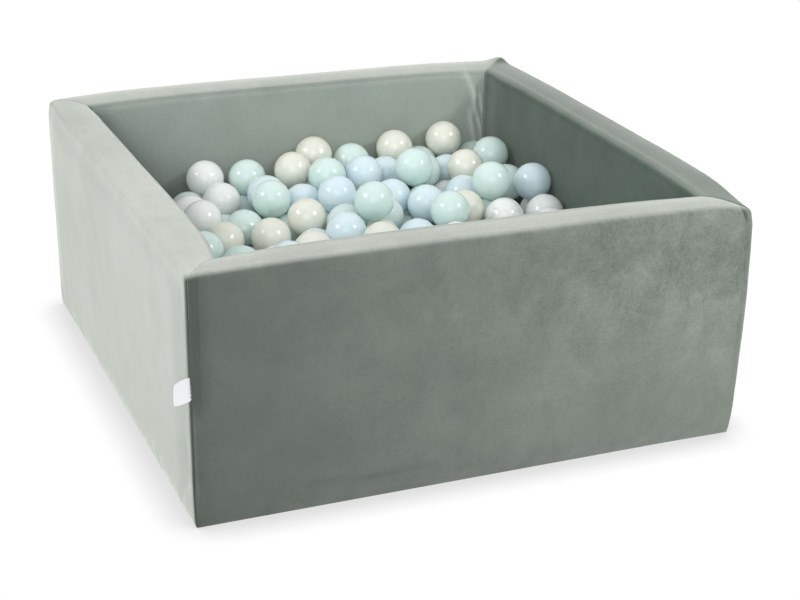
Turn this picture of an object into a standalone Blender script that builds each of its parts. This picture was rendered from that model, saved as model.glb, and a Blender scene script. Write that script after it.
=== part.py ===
"""Square ball pit: four foam boards in velvet covers, a floor mat and a bed of plastic balls.

Metres, +Z up. The origin is the middle of the underside, +X runs along the front wall and
+Y runs to the back. Run it with: blender --background --python part.py
"""
import math
import random

import bmesh
import bpy
import numpy as np
from mathutils import Matrix, Vector
from mathutils.bvhtree import BVHTree
from mathutils.geometry import delaunay_2d_cdt

# Driving dimensions of the pit
PIT_WIDTH = 0.900
PIT_DEPTH = 0.900
WALL_HEIGHT = 0.402
WALL_THICKNESS = 0.058
WALL_SWELL = 0.0090
SWELL_POWER = 0.7
TOP_EDGE_RADIUS = 0.012
BOTTOM_EDGE_RADIUS = 0.003
CORNER_RADIUS = 0.012
FOOT_CORNER_SHARE = 0.30
CORNER_FULL_HEIGHT = 0.120
CORNER_FAN_STEP = 0.0050
FACE_CROWN = 0.0015
TOP_CROWN = 0.0020
COVER_CLOTH = 0.0020
STRAIGHT_STATION_SHARES = (0.22, 0.50, 0.78)
FACE_ROW_SHARES = (0.0, 0.25, 0.50, 0.75)

# Clearances
FIT_GAP = 0.0003
CUT_OVERRUN = 0.010

# Zip on the underside of the back cover
ZIP_END_MARGIN = 0.140
ZIP_SLOT_WIDTH = 0.0100
ZIP_HEM_WIDTH = 0.0040
ZIP_TAPE_THICKNESS = 0.0008
ZIP_TAPE_DROP = 0.0020
COIL_WIDTH = 0.0016
COIL_HEIGHT = 0.0012
COIL_SLIT = 0.0012
SLIDER_LENGTH = 0.0090
SLIDER_WIDTH = 0.0080
SLIDER_PLATE = 0.0010
SLIDER_POST = 0.0006
SLIDER_FLANGE = 0.0012
SLIDER_WELD = 0.0005
POST_END_MARGIN = 0.0018
KNUCKLE_RADIUS = 0.0012
KNUCKLE_WIDTH = 0.0024
PULL_PIN_RADIUS = 0.00045
PULL_BORE_RADIUS = 0.00075
PULL_LENGTH = 0.022
PULL_THICKNESS = 0.0010
PULL_EAR_WIDTH = 0.0012
PULL_HOLE_RADIUS = 0.0015

# Woven label sewn into the front left corner seam
LABEL_HEIGHT = 0.0355
LABEL_REACH = 0.030
LABEL_RIBBON = 0.0005
LABEL_LOOP_GAP = 0.0012
LABEL_BASE_HEIGHT = 0.2065
LABEL_TURN = math.radians(13)

# Floor mat
MAT_HEIGHT = 0.034
MAT_SIDE_GAP = 0.0005
MAT_EDGE_RADIUS = 0.005
MAT_ZIP_SLIT = 0.0008
MAT_ZIP_LENGTH = 0.500

# Balls
BALL_DIAMETER = 0.070
BED_WALL_GAP = 0.003
BED_DISH_DROP = 0.002
BED_POINT_GAP = 0.005
BURIED_SPACING_SHARE = 0.80
HOLLOW_REACH_SHARE = 0.64
FILL_STEP_SHARE = 0.10
FILL_HEIGHT_SHARE = 0.545
FILL_SLOPE_SHARE = 0.060
FILL_RIPPLE_SHARE = 0.035
CORNER_DIP_SHARE = 0.130
CORNER_DIP_REACH_SHARE = 2.0
BED_FLOOR_SHARE = 1.02
BED_GRID_SHARE = 0.52

# Numbers of facets
EDGE_STEPS = 3
FOOT_STEPS = 2
HOLE_STEPS = 12
PIN_STEPS = 8
LABEL_FOLD_STEPS = 6
BALL_SEGMENTS = 12
BALL_RINGS = 8

# Rings of points on the balls of the bed: angle from the top in degrees, and number of points
FILL_DOME_RINGS = ((0, 1), (28, 6), (54, 9), (76, 11))
BURIED_DOME_RINGS = ((0, 1), (30, 5), (58, 8))
DISH_RINGS = ((0, 1), (36, 6), (62, 9), (86, 12))

# Limits of the loops that place the balls
SPREAD_ROUNDS = 400
FILL_THROWS = 4000
HOLLOW_TRIES = 12
SETTLE_HALVINGS = 20
FILL_SEED = 5

# Loose balls: colour, then place across, place to the back and height, as shares of the inside
# width, the inside depth and the wall height
LOOSE_BALL_SHARES = (
    ("white", 0.249, 0.934, 0.640),
    ("white", 0.261, 0.844, 0.587),
    ("white", 0.179, 0.722, 0.600),
    ("white", 0.177, 0.811, 0.565),
    ("mint", 0.347, 0.917, 0.635),
    ("mint", 0.348, 0.741, 0.644),
    ("blue", 0.365, 0.829, 0.610),
    ("mint", 0.269, 0.696, 0.550),
    ("pearl", 0.204, 0.635, 0.555),
    ("mint", 0.138, 0.574, 0.565),
    ("pearl", 0.304, 0.612, 0.560),
    ("pearl", 0.449, 0.881, 0.674),
    ("pearl", 0.520, 0.936, 0.699),
    ("mint", 0.510, 0.815, 0.672),
    ("mint", 0.614, 0.925, 0.657),
    ("blue", 0.599, 0.809, 0.667),
    ("blue", 0.492, 0.699, 0.659),
    ("blue", 0.434, 0.768, 0.582),
    ("pearl", 0.399, 0.644, 0.605),
    ("blue", 0.444, 0.513, 0.624),
    ("mint", 0.524, 0.554, 0.716),
    ("mint", 0.579, 0.625, 0.580),
    ("pearl", 0.500, 0.443, 0.614),
    ("pearl", 0.358, 0.486, 0.575),
    ("blue", 0.675, 0.860, 0.609),
    ("blue", 0.629, 0.700, 0.612),
    ("pearl", 0.728, 0.932, 0.697),
    ("pearl", 0.866, 0.946, 0.709),
    ("mint", 0.703, 0.751, 0.714),
    ("mint", 0.756, 0.823, 0.642),
    ("mint", 0.946, 0.844, 0.674),
    ("mint", 0.955, 0.955, 0.592),
    ("pearl", 0.846, 0.770, 0.672),
    ("blue", 0.838, 0.861, 0.585),
    ("mint", 0.834, 0.605, 0.711),
    ("blue", 0.806, 0.690, 0.595),
    ("blue", 0.685, 0.630, 0.619),
    ("mint", 0.687, 0.505, 0.669),
    ("pearl", 0.753, 0.568, 0.622),
    ("white", 0.827, 0.515, 0.600),
    ("blue", 0.601, 0.482, 0.572),
    ("blue", 0.955, 0.631, 0.674),
    ("white", 0.944, 0.542, 0.577),
    ("mint", 0.931, 0.718, 0.605),
)

# Balls of the bed that show over the front wall: across, to the back and height, shares as above
FRONT_BALL_SHARES = (
    (0.204, 0.513, 0.525),
    (0.284, 0.434, 0.582),
    (0.666, 0.418, 0.587),
    (0.917, 0.457, 0.570),
)
BALL_COLOURS = {
    "white": (0.80, 0.82, 0.84),
    "mint": (0.60, 0.82, 0.72),
    "blue": (0.58, 0.69, 0.83),
    "pearl": (0.70, 0.69, 0.62),
}

INSIDE_WIDTH = PIT_WIDTH - 2 * WALL_THICKNESS
INSIDE_DEPTH = PIT_DEPTH - 2 * WALL_THICKNESS
BALL_RADIUS = BALL_DIAMETER / 2
BALL_SPACING = BALL_DIAMETER + 2 * FIT_GAP
BED_BOTTOM = MAT_HEIGHT + FIT_GAP


def clear_scene():
    for old in list(bpy.data.objects):
        bpy.data.objects.remove(old, do_unlink=True)


def material(name, colour, roughness, sheen=0.0):
    made = bpy.data.materials.new(name)
    made.use_nodes = True
    shader = made.node_tree.nodes["Principled BSDF"]
    shader.inputs["Base Color"].default_value = (*colour, 1)
    shader.inputs["Roughness"].default_value = roughness
    shader.inputs["Metallic"].default_value = 0
    shader.inputs["Sheen Weight"].default_value = sheen
    made.diffuse_color = (*colour, 1)
    return made


def metal(name, colour, roughness):
    made = material(name, colour, roughness)
    made.node_tree.nodes["Principled BSDF"].inputs["Metallic"].default_value = 1
    return made


def add_object(name, mesh, look, parent=None, place=(0, 0, 0), turn=0.0):
    made = bpy.data.objects.new(name, mesh)
    bpy.context.scene.collection.objects.link(made)
    if not mesh.materials:
        mesh.materials.append(look)
    made.location = place
    made.rotation_euler = (0, 0, turn)
    made.parent = parent
    return made


def add_empty(name, place=(0, 0, 0), parent=None):
    empty = bpy.data.objects.new(name, None)
    bpy.context.scene.collection.objects.link(empty)
    empty.location = place
    empty.parent = parent
    return empty


def mesh_from(name, bm, smooth_angle=None):
    bmesh.ops.recalc_face_normals(bm, faces=bm.faces)
    mesh = bpy.data.meshes.new(name)
    bm.to_mesh(mesh)
    bm.free()
    if smooth_angle is not None:
        mesh.shade_smooth()
        mesh.set_sharp_from_angle(angle=math.radians(smooth_angle))
    return mesh


def box_bmesh(low, high):
    bm = bmesh.new()
    size = Vector(high) - Vector(low)
    middle = (Vector(high) + Vector(low)) / 2
    shape = Matrix.Translation(middle) @ Matrix.Diagonal((*size, 1))
    bmesh.ops.create_cube(bm, size=1, matrix=shape)
    return bm


def cut(target, cutter_name, cutter_mesh, place=(0, 0, 0), turn=0.0):
    cutter = bpy.data.objects.new(cutter_name, cutter_mesh)
    bpy.context.scene.collection.objects.link(cutter)
    cutter.location = place
    cutter.rotation_euler = (0, 0, turn)
    cutter.hide_render = True
    cutter.display_type = "WIRE"
    modifier = target.modifiers.new(cutter_name, "BOOLEAN")
    modifier.operation = "DIFFERENCE"
    modifier.solver = "EXACT"
    modifier.object = cutter
    return cutter


def join(target, other, name):
    """Boolean union of a helper shape into an object."""
    helper = cut(target, name, other)
    target.modifiers[name].operation = "UNION"
    return helper


def arc(centre, radius, start, end, steps):
    """Points on an arc; angles in degrees, both ends kept."""
    turns = [math.radians(start + (end - start) * k / steps) for k in range(steps + 1)]
    return [(centre[0] + radius * math.cos(t), centre[1] + radius * math.sin(t)) for t in turns]


def circle(centre, radius, steps):
    """Points round a circle."""
    return arc(centre, radius, 0, 360, steps)[:-1]


def extruded(outline, length, axis_map):
    """A closed solid: a 2-D outline pushed along one axis; axis_map turns (a, b, c) into x, y, z."""
    bm = bmesh.new()
    low = [bm.verts.new(axis_map(a, b, 0)) for a, b in outline]
    high = [bm.verts.new(axis_map(a, b, length)) for a, b in outline]
    bm.faces.new(low)
    bm.faces.new(list(reversed(high)))
    for k, start in enumerate(low):
        after = (k + 1) % len(low)
        bm.faces.new((start, low[after], high[after], high[k]))
    return bm


# Walls. A wall is drawn in its own frame: u along it, v from its outer face inwards, z up.

def wall_profile(inset):
    """Cross-section of a wall at a depth under its surface: rounded top edges, tighter foot edges."""
    outer = FACE_CROWN + inset
    inner = WALL_THICKNESS - inset
    foot = inset
    top = WALL_HEIGHT - TOP_CROWN - inset
    top_radius = TOP_EDGE_RADIUS - inset
    foot_radius = max(BOTTOM_EDGE_RADIUS - inset, FIT_GAP)
    points = [(outer, foot + foot_radius + (top - top_radius - foot - foot_radius) * share)
              for share in FACE_ROW_SHARES]
    points += arc((outer + top_radius, top - top_radius), top_radius, 180, 90, EDGE_STEPS)
    points.append(((outer + inner) / 2, top + TOP_CROWN))
    points += arc((inner - top_radius, top - top_radius), top_radius, 90, 0, EDGE_STEPS)
    points += arc((inner - foot_radius, foot + foot_radius), foot_radius, 0, -90, FOOT_STEPS)
    points += arc((outer + foot_radius, foot + foot_radius), foot_radius, 270, 180, FOOT_STEPS)[:-1]
    return points


def wall_stations(length, inset):
    """Places along a wall where its section stands: outer point, inner point, and which end turns."""
    outer = FACE_CROWN + inset
    inner = WALL_THICKNESS - inset
    corner = FACE_CROWN + CORNER_RADIUS
    bend = arc((corner, corner), CORNER_RADIUS - inset, 225, 270, FOOT_STEPS)
    half = []
    for k, (u, v) in enumerate(bend):
        half.append(((u, v), (inner + CORNER_FAN_STEP * k, inner), "start"))
    stations = list(half)
    for share in STRAIGHT_STATION_SHARES:
        stations.append(((length * share, outer), (length * share, inner), None))
    for (u, v), (inner_u, inner_v), _ in reversed(half):
        stations.append(((length - u, v), (length - inner_u, inner_v), "end"))
    return stations


def crown(share):
    """Swell of a padded face: nothing at its ends, nearly full over the middle."""
    return 1 - (2 * min(max(share, 0), 1) - 1) ** 4


def swell_at(height):
    """How far a wall's outer face stands out at a height: its padding is thicker towards the top."""
    return WALL_SWELL * (max(height, 0) / WALL_HEIGHT) ** SWELL_POWER


def corner_share(height):
    """Share of the corner radius at a height: the cover turns a sharper corner at the floor."""
    return min(1, FOOT_CORNER_SHARE + (1 - FOOT_CORNER_SHARE) * height / CORNER_FULL_HEIGHT)


def wall_rings(bm, length, inset):
    """The rings of points around a wall, one at each station."""
    profile = wall_profile(inset)
    outer = FACE_CROWN + inset
    inner = WALL_THICKNESS - inset
    stations = wall_stations(length, inset)
    first_u = stations[0][0][0]
    mitre_shift = FIT_GAP / math.sqrt(2)
    partings = [mitre_shift] + [0] * (len(stations) - 2) + [-mitre_shift]
    rings = []
    for (start, end, turning), parting in zip(stations, partings):
        along = (start[0] - first_u) / (length - 2 * first_u)
        ring = []
        for v, z in profile:
            share = (v - outer) / (inner - outer)
            start_u, start_v = start
            if turning:
                edge = outer if turning == "start" else length - outer
                start_u = edge + (start_u - edge) * corner_share(z)
                start_v = outer + (start_v - outer) * corner_share(z)
            out = swell_at(z) * (1 - share)
            swell = FACE_CROWN * crown(along) * crown(z / WALL_HEIGHT) * (1 - share)
            u = start_u + (end[0] - start_u) * share + out * (2 * along - 1) + parting
            across = start_v + (end[1] - start_v) * share - swell - out
            ring.append(bm.verts.new((u, across, z)))
        rings.append(ring)
    return rings


def skin_faces(bm, rings):
    for ring, following in zip(rings, rings[1:]):
        for k, point in enumerate(ring):
            after = (k + 1) % len(ring)
            bm.faces.new((point, ring[after], following[after], following[k]))


def cover_mesh(name, length):
    """A velvet sleeve, open at both mitred ends, where it is sewn to its neighbours."""
    bm = bmesh.new()
    outside = wall_rings(bm, length, 0)
    inside = wall_rings(bm, length, COVER_CLOTH)
    skin_faces(bm, outside)
    skin_faces(bm, inside)
    for end in (0, -1):
        out_ring, in_ring = outside[end], inside[end]
        for k, point in enumerate(out_ring):
            after = (k + 1) % len(out_ring)
            bm.faces.new((point, out_ring[after], in_ring[after], in_ring[k]))
    return mesh_from(name, bm, 40)


def board_mesh(name, length):
    """A foam board with mitred ends, a loose fit in its sleeve."""
    bm = bmesh.new()
    rings = wall_rings(bm, length, COVER_CLOTH + FIT_GAP)
    skin_faces(bm, rings)
    bm.faces.new(rings[0])
    bm.faces.new(list(reversed(rings[-1])))
    return mesh_from(name, bm, 40)


def wall_places():
    """Each wall's name, length, start corner and turn about Z."""
    x, y = PIT_WIDTH / 2, PIT_DEPTH / 2
    return (
        ("front", PIT_WIDTH, (-x, -y, 0), 0),
        ("right", PIT_DEPTH, (x, -y, 0), math.pi / 2),
        ("back", PIT_WIDTH, (x, y, 0), math.pi),
        ("left", PIT_DEPTH, (-x, y, 0), -math.pi / 2),
    )


def build_walls(velvet, foam):
    pieces = {}
    for side, length, place, turn in wall_places():
        cover_name = side + "_cover"
        board_name = side + "_foam_board"
        cover = cover_mesh(cover_name, length)
        board = board_mesh(board_name, length)
        pieces[cover_name] = add_object(cover_name, cover, velvet, None, place, turn)
        pieces[board_name] = add_object(board_name, board, foam, None, place, turn)
    return pieces


# Zip. It is drawn in the back wall's frame and runs along u at the middle of the wall's thickness.

ZIP_LENGTH = PIT_WIDTH - 2 * ZIP_END_MARGIN
ZIP_CENTRE = (FACE_CROWN + WALL_THICKNESS) / 2
HEM_BOTTOM = COVER_CLOTH + FIT_GAP
TAPE_BOTTOM = HEM_BOTTOM + ZIP_TAPE_DROP
TAPE_TOP = TAPE_BOTTOM + ZIP_TAPE_THICKNESS
COIL_BOTTOM = TAPE_BOTTOM - COIL_HEIGHT
PLATE_TOP = COIL_BOTTOM - FIT_GAP
PLATE_BOTTOM = PLATE_TOP - SLIDER_PLATE
UPPER_PLATE_BOTTOM = TAPE_TOP + FIT_GAP
UPPER_PLATE_TOP = UPPER_PLATE_BOTTOM + SLIDER_PLATE
GROOVE_TOP = UPPER_PLATE_TOP + FIT_GAP
TAPE_REACH = ZIP_SLOT_WIDTH / 2 + FIT_GAP + ZIP_HEM_WIDTH
PIN_HEIGHT = FIT_GAP + KNUCKLE_RADIUS
SLOT_LENGTH = ZIP_LENGTH + 2 * PULL_LENGTH
ZIP_START = (PIT_WIDTH - ZIP_LENGTH) / 2
SLOT_START = (PIT_WIDTH - SLOT_LENGTH) / 2


def tape_outline(side):
    """Half of a closed zip across the run: sewn hem, tape and the coil along its edge."""
    slit = COIL_SLIT / 2
    hem_start = ZIP_SLOT_WIDTH / 2 + FIT_GAP
    points = [
        (slit, COIL_BOTTOM),
        (slit + COIL_WIDTH, COIL_BOTTOM),
        (slit + COIL_WIDTH, TAPE_BOTTOM),
        (hem_start, TAPE_BOTTOM),
        (hem_start, HEM_BOTTOM),
        (TAPE_REACH, HEM_BOTTOM),
        (TAPE_REACH, TAPE_TOP),
        (slit, TAPE_TOP),
    ]
    return [(side * a, b) for a, b in points]


def build_zip(pieces, tape_look, metal_look, pull_look):
    _, _, place, turn = wall_places()[2]
    frame = add_empty("zip_frame", place)
    frame.rotation_euler = (0, 0, turn)

    slot_low = (SLOT_START, ZIP_CENTRE - ZIP_SLOT_WIDTH / 2, -CUT_OVERRUN)
    slot_high = (SLOT_START + SLOT_LENGTH, ZIP_CENTRE + ZIP_SLOT_WIDTH / 2, HEM_BOTTOM)
    slot = mesh_from("zip_slot", box_bmesh(slot_low, slot_high))
    cut(pieces["back_cover"], "zip_slot_cutter", slot, place, turn)

    reach = TAPE_REACH + FIT_GAP
    groove_low = (SLOT_START, ZIP_CENTRE - reach, -CUT_OVERRUN)
    groove_high = (SLOT_START + SLOT_LENGTH, ZIP_CENTRE + reach, GROOVE_TOP)
    groove = mesh_from("zip_groove", box_bmesh(groove_low, groove_high))
    cut(pieces["back_foam_board"], "zip_groove_cutter", groove, place, turn)

    for name, side in (("zip_tape_outer", -1), ("zip_tape_inner", 1)):
        bm = extruded(tape_outline(side), ZIP_LENGTH, lambda a, b, c: (c, a, b))
        add_object(name, mesh_from(name, bm), tape_look, frame, (ZIP_START, ZIP_CENTRE, 0))

    build_slider(frame, metal_look)
    build_pull(frame, pull_look)


SLIDER_START = ZIP_START + FIT_GAP
PIN_AHEAD = SLIDER_LENGTH + KNUCKLE_RADIUS + FIT_GAP


def build_slider(frame, look):
    """Slider body: two plates on a middle post, side flanges, and a knuckle for the pull."""
    half = SLIDER_WIDTH / 2
    low = box_bmesh((0, -half, PLATE_BOTTOM), (SLIDER_LENGTH, half, PLATE_TOP))
    start = (SLIDER_START, ZIP_CENTRE, 0)
    slider = add_object("zip_slider", mesh_from("zip_slider", low), look, frame, start)
    origin = frame.matrix_basis @ Matrix.Translation(start)

    def add(name, bm):
        helper = join(slider, mesh_from(name, bm), name)
        helper.matrix_world = origin

    upper_low = (0, -half, UPPER_PLATE_BOTTOM)
    upper_high = (SLIDER_LENGTH, half, UPPER_PLATE_TOP)
    add("slider_upper_plate", box_bmesh(upper_low, upper_high))
    post = SLIDER_POST / 2
    post_low = (POST_END_MARGIN, -post, PLATE_TOP - SLIDER_WELD)
    post_high = (SLIDER_LENGTH - POST_END_MARGIN, post, UPPER_PLATE_BOTTOM + SLIDER_WELD)
    add("slider_post", box_bmesh(post_low, post_high))
    flange_top = TAPE_BOTTOM - FIT_GAP
    step = SLIDER_WELD / 4
    for side, name in ((-1, "slider_flange_outer"), (1, "slider_flange_inner")):
        edges = sorted((side * (half - SLIDER_FLANGE), side * (half - step)))
        flange_low = (step, edges[0], PLATE_TOP - SLIDER_WELD)
        flange_high = (SLIDER_LENGTH - step, edges[1], flange_top)
        add(name, box_bmesh(flange_low, flange_high))
    knuckle = KNUCKLE_WIDTH / 2
    outline = arc((PIN_AHEAD, PIN_HEIGHT), KNUCKLE_RADIUS, -90, 90, PIN_STEPS)
    outline += [(SLIDER_LENGTH - SLIDER_WELD, PIN_HEIGHT + KNUCKLE_RADIUS - FIT_GAP),
                (SLIDER_LENGTH - SLIDER_WELD, PIN_HEIGHT - KNUCKLE_RADIUS + FIT_GAP)]
    add("slider_knuckle", extruded(outline, 2 * knuckle, lambda a, b, c: (a, c - knuckle, b)))
    bore_outline = circle((PIN_AHEAD, PIN_HEIGHT), PULL_BORE_RADIUS, HOLE_STEPS)
    bore = extruded(bore_outline, 4 * knuckle, lambda a, b, c: (a, c - 2 * knuckle, b))
    cutter = cut(slider, "pull_bore_cutter", mesh_from("pull_bore", bore))
    cutter.matrix_world = origin


def build_pull(frame, look):
    """Pull tab: a plate with two ears and the pin that turns in the slider's knuckle."""
    half = PULL_THICKNESS / 2
    ear_in = KNUCKLE_WIDTH / 2 + FIT_GAP
    ear_out = ear_in + PULL_EAR_WIDTH
    neck = KNUCKLE_RADIUS + FIT_GAP
    outline = [(-PULL_PIN_RADIUS, ear_in), (neck, ear_in), (neck, -ear_in), (-PULL_PIN_RADIUS, -ear_in),
               (-PULL_PIN_RADIUS, -ear_out)]
    outline += arc((PULL_LENGTH - ear_out, 0), ear_out, -90, 90, PIN_STEPS)
    outline.append((-PULL_PIN_RADIUS, ear_out))
    place = (SLIDER_START + PIN_AHEAD, ZIP_CENTRE, PIN_HEIGHT)
    plate = extruded(outline, PULL_THICKNESS, lambda a, b, c: (a, b, c - half))
    pull = add_object("zip_pull", mesh_from("zip_pull", plate), look, frame, place)
    origin = frame.matrix_basis @ Matrix.Translation(place)
    reach = ear_in + PULL_EAR_WIDTH / 2
    round_pin = circle((0, 0), PULL_PIN_RADIUS, PIN_STEPS)
    pin = extruded(round_pin, 2 * reach, lambda a, b, c: (a, c - reach, b))
    helper = join(pull, mesh_from("pull_pin", pin), "pull_pin")
    helper.matrix_world = origin
    hole_outline = circle((PULL_LENGTH - ear_out, 0), PULL_HOLE_RADIUS, HOLE_STEPS)
    hole = extruded(hole_outline, 2 * PULL_THICKNESS, lambda a, b, c: (a, b, c - PULL_THICKNESS))
    cutter = cut(pull, "pull_hole_cutter", mesh_from("pull_hole", hole))
    cutter.matrix_world = origin


# Label. Its origin is the corner seam that it swings about.

def build_label(look):
    """A ribbon folded into a flat loop; both its ends meet at the seam."""
    corner = FACE_CROWN + CORNER_RADIUS - CORNER_RADIUS / math.sqrt(2)
    corner -= swell_at(LABEL_BASE_HEIGHT + LABEL_HEIGHT)
    stand_off = (FIT_GAP + LABEL_RIBBON) / math.sqrt(2)
    inwards = corner - stand_off
    seam = (-PIT_WIDTH / 2 + inwards, -PIT_DEPTH / 2 + inwards, LABEL_BASE_HEIGHT)
    half_gap = LABEL_LOOP_GAP / 2
    outer = half_gap + LABEL_RIBBON
    fold = (LABEL_REACH - outer, 0)
    outline = [(0, -LABEL_RIBBON), (LABEL_REACH / 4, -outer)]
    outline += arc(fold, outer, -90, 90, LABEL_FOLD_STEPS)
    outline += [(LABEL_REACH / 4, outer), (0, LABEL_RIBBON)]
    bm = extruded(outline, LABEL_HEIGHT, lambda a, b, c: (a, b, c))
    turn = math.pi + LABEL_TURN
    label = add_object("label_loop", mesh_from("label_loop", bm), look, None, seam, turn)
    hollow = [(LABEL_REACH / 4, -half_gap)]
    hollow += arc(fold, half_gap, -90, 90, LABEL_FOLD_STEPS)
    hollow.append((LABEL_REACH / 4, half_gap))
    hole = extruded(hollow, LABEL_HEIGHT + 2 * CUT_OVERRUN, lambda a, b, c: (a, b, c - CUT_OVERRUN))
    cut(label, "label_hollow_cutter", mesh_from("label_hollow", hole), seam, turn)
    return label


# Floor mat

def rounded_block(name, size_x, size_y, bottom, top, radius, look):
    low = (-size_x / 2, -size_y / 2, bottom)
    high = (size_x / 2, size_y / 2, top)
    block = add_object(name, mesh_from(name, box_bmesh(low, high)), look)
    bevel = block.modifiers.new("soft_edges", "BEVEL")
    bevel.width = radius
    bevel.segments = 2
    bevel.limit_method = "NONE"
    return block


def build_mat(velvet, foam):
    width = INSIDE_WIDTH - 2 * MAT_SIDE_GAP
    depth = INSIDE_DEPTH - 2 * MAT_SIDE_GAP
    cover = rounded_block("mat_cover", width, depth, 0, MAT_HEIGHT, MAT_EDGE_RADIUS, velvet)
    cloth = 2 * COVER_CLOTH
    hollow = rounded_block("mat_hollow_cutter", width - cloth, depth - cloth, COVER_CLOTH,
                           MAT_HEIGHT - COVER_CLOTH, MAT_EDGE_RADIUS - COVER_CLOTH, velvet)
    hollow.hide_render = True
    hollow.display_type = "WIRE"
    shell = cover.modifiers.new("hollow", "BOOLEAN")
    shell.operation = "DIFFERENCE"
    shell.solver = "EXACT"
    shell.object = hollow
    slit_low = (-MAT_ZIP_LENGTH / 2, depth / 2 - 2 * COVER_CLOTH, (MAT_HEIGHT - MAT_ZIP_SLIT) / 2)
    slit_high = (MAT_ZIP_LENGTH / 2, depth / 2 + CUT_OVERRUN, (MAT_HEIGHT + MAT_ZIP_SLIT) / 2)
    cut(cover, "mat_zip_slit_cutter", mesh_from("mat_zip_slit", box_bmesh(slit_low, slit_high)))
    inset = COVER_CLOTH + FIT_GAP
    rounded_block("mat_foam", width - 2 * inset, depth - 2 * inset, inset, MAT_HEIGHT - inset,
                  MAT_EDGE_RADIUS - inset, foam)


# Balls

def inside_place(across, back, height):
    """A place given as shares of the inside, in metres from the origin."""
    return np.array(((across - 0.5) * INSIDE_WIDTH, (back - 0.5) * INSIDE_DEPTH, height * WALL_HEIGHT))


def keep_inside(places, margin):
    reach = np.array((INSIDE_WIDTH / 2 - margin, INSIDE_DEPTH / 2 - margin))
    places[:, :2] = np.clip(places[:, :2], -reach, reach)


def spread_listed_balls():
    """Push the listed balls apart sideways until each one could be lifted straight out."""
    listed = [shares[1:] for shares in LOOSE_BALL_SHARES] + list(FRONT_BALL_SHARES)
    places = np.array([inside_place(*shares) for shares in listed])
    for _ in range(SPREAD_ROUNDS):
        keep_inside(places, BALL_RADIUS + FIT_GAP)
        moved = False
        for a in range(len(places)):
            for b in range(a + 1, len(places)):
                apart = places[b, :2] - places[a, :2]
                distance = float(np.hypot(*apart))
                if distance < BALL_SPACING - FIT_GAP / 10:
                    push = apart / max(distance, FIT_GAP) * (BALL_SPACING - distance) / 2
                    places[a, :2] -= push
                    places[b, :2] += push
                    moved = True
        if not moved:
            break
    return places[:len(LOOSE_BALL_SHARES)], places[len(LOOSE_BALL_SHARES):]


def fill_rest_of_top(loose, front):
    """Fixed balls that fill the top of the bed wherever the loose ones leave room."""
    chance = random.Random(FILL_SEED)
    taken = [tuple(place[:2]) for place in np.vstack((loose, front))]
    fixed = [tuple(place) for place in front]
    step = BALL_DIAMETER * FILL_STEP_SHARE
    reach_x = INSIDE_WIDTH / 2 - BALL_RADIUS - BED_WALL_GAP
    reach_y = INSIDE_DEPTH / 2 - BALL_RADIUS - BED_WALL_GAP
    tries = []
    for _ in range(FILL_THROWS):
        tries.append((chance.uniform(-reach_x, reach_x), chance.uniform(-reach_y, reach_y)))
    for row in range(int(2 * reach_y / step) + 1):
        for column in range(int(2 * reach_x / step) + 1):
            tries.append((-reach_x + column * step, -reach_y + row * step))
    for x, y in tries:
        if all(math.hypot(x - a, y - b) >= BALL_SPACING for a, b in taken):
            away = math.hypot(x + reach_x, y - reach_y) / (BALL_DIAMETER * CORNER_DIP_REACH_SHARE)
            share = FILL_HEIGHT_SHARE + FILL_SLOPE_SHARE * x / INSIDE_WIDTH
            share += FILL_RIPPLE_SHARE * chance.uniform(-1, 1)
            share -= CORNER_DIP_SHARE * math.exp(-away ** 2)
            fixed.append((x, y, WALL_HEIGHT * share))
            taken.append((x, y))
    return np.array(fixed)


def below_three(a, b, c):
    """The lower point that lies one ball spacing from each of three ball centres, or None."""
    ab, ac = b - a, c - a
    normal = np.cross(ab, ac)
    size = float(normal @ normal)
    if size < (BALL_RADIUS / 10) ** 4:
        return None
    centre = (float(ac @ ac) * np.cross(normal, ab) + float(ab @ ab) * np.cross(ac, normal)) / (2 * size)
    left = BALL_SPACING ** 2 - float(centre @ centre)
    if left <= 0:
        return None
    direction = normal / math.sqrt(size)
    if direction[2] > 0:
        direction = -direction
    return a + centre + direction * math.sqrt(left)


def hollows_between(top):
    """Every three neighbouring balls of the top layer."""
    flat = [Vector(place[:2]) for place in top]
    return [[top[k] for k in corners] for corners in delaunay_2d_cdt(flat, [], [], 0, FIT_GAP)[2]]


def find_buried_balls(top):
    """Balls in the hollows under the top layer, each touching the ones that lie on it."""
    buried = []

    def fits(place, spacing):
        if any(np.linalg.norm(place - other) < BALL_SPACING - FIT_GAP / 10 for other in top):
            return False
        return all(np.linalg.norm(place - other) >= spacing for other in buried)

    lowest = BED_BOTTOM + BALL_RADIUS
    for corners in hollows_between(top):
        place = below_three(*corners)
        if place is not None and place[2] > lowest:
            if fits(place, BALL_DIAMETER * BURIED_SPACING_SHARE):
                buried.append(place)
    offset = BALL_DIAMETER * HOLLOW_REACH_SHARE
    drop = math.sqrt(BALL_SPACING ** 2 - offset ** 2)
    for ball in top:
        touching = [other for other in buried if np.linalg.norm(other - ball) < BALL_SPACING + FIT_GAP]
        if touching:
            continue
        for k in range(HOLLOW_TRIES):
            turn = math.tau * k / HOLLOW_TRIES
            place = ball + np.array((offset * math.cos(turn), offset * math.sin(turn), -drop))
            if fits(place, BALL_RADIUS):
                buried.append(place)
                break
    return np.array(buried)


def dome_points(centre, dome_rings):
    """Points on the cap of a ball: rings at angles from its top."""
    for angle, count in dome_rings:
        reach = BALL_RADIUS * math.sin(math.radians(angle))
        rise = BALL_RADIUS * math.cos(math.radians(angle))
        for k in range(count):
            turn = math.tau * (k + angle / 90) / count
            x = centre[0] + reach * math.cos(turn)
            y = centre[1] + reach * math.sin(turn)
            yield (x, y, centre[2] + rise)


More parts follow.
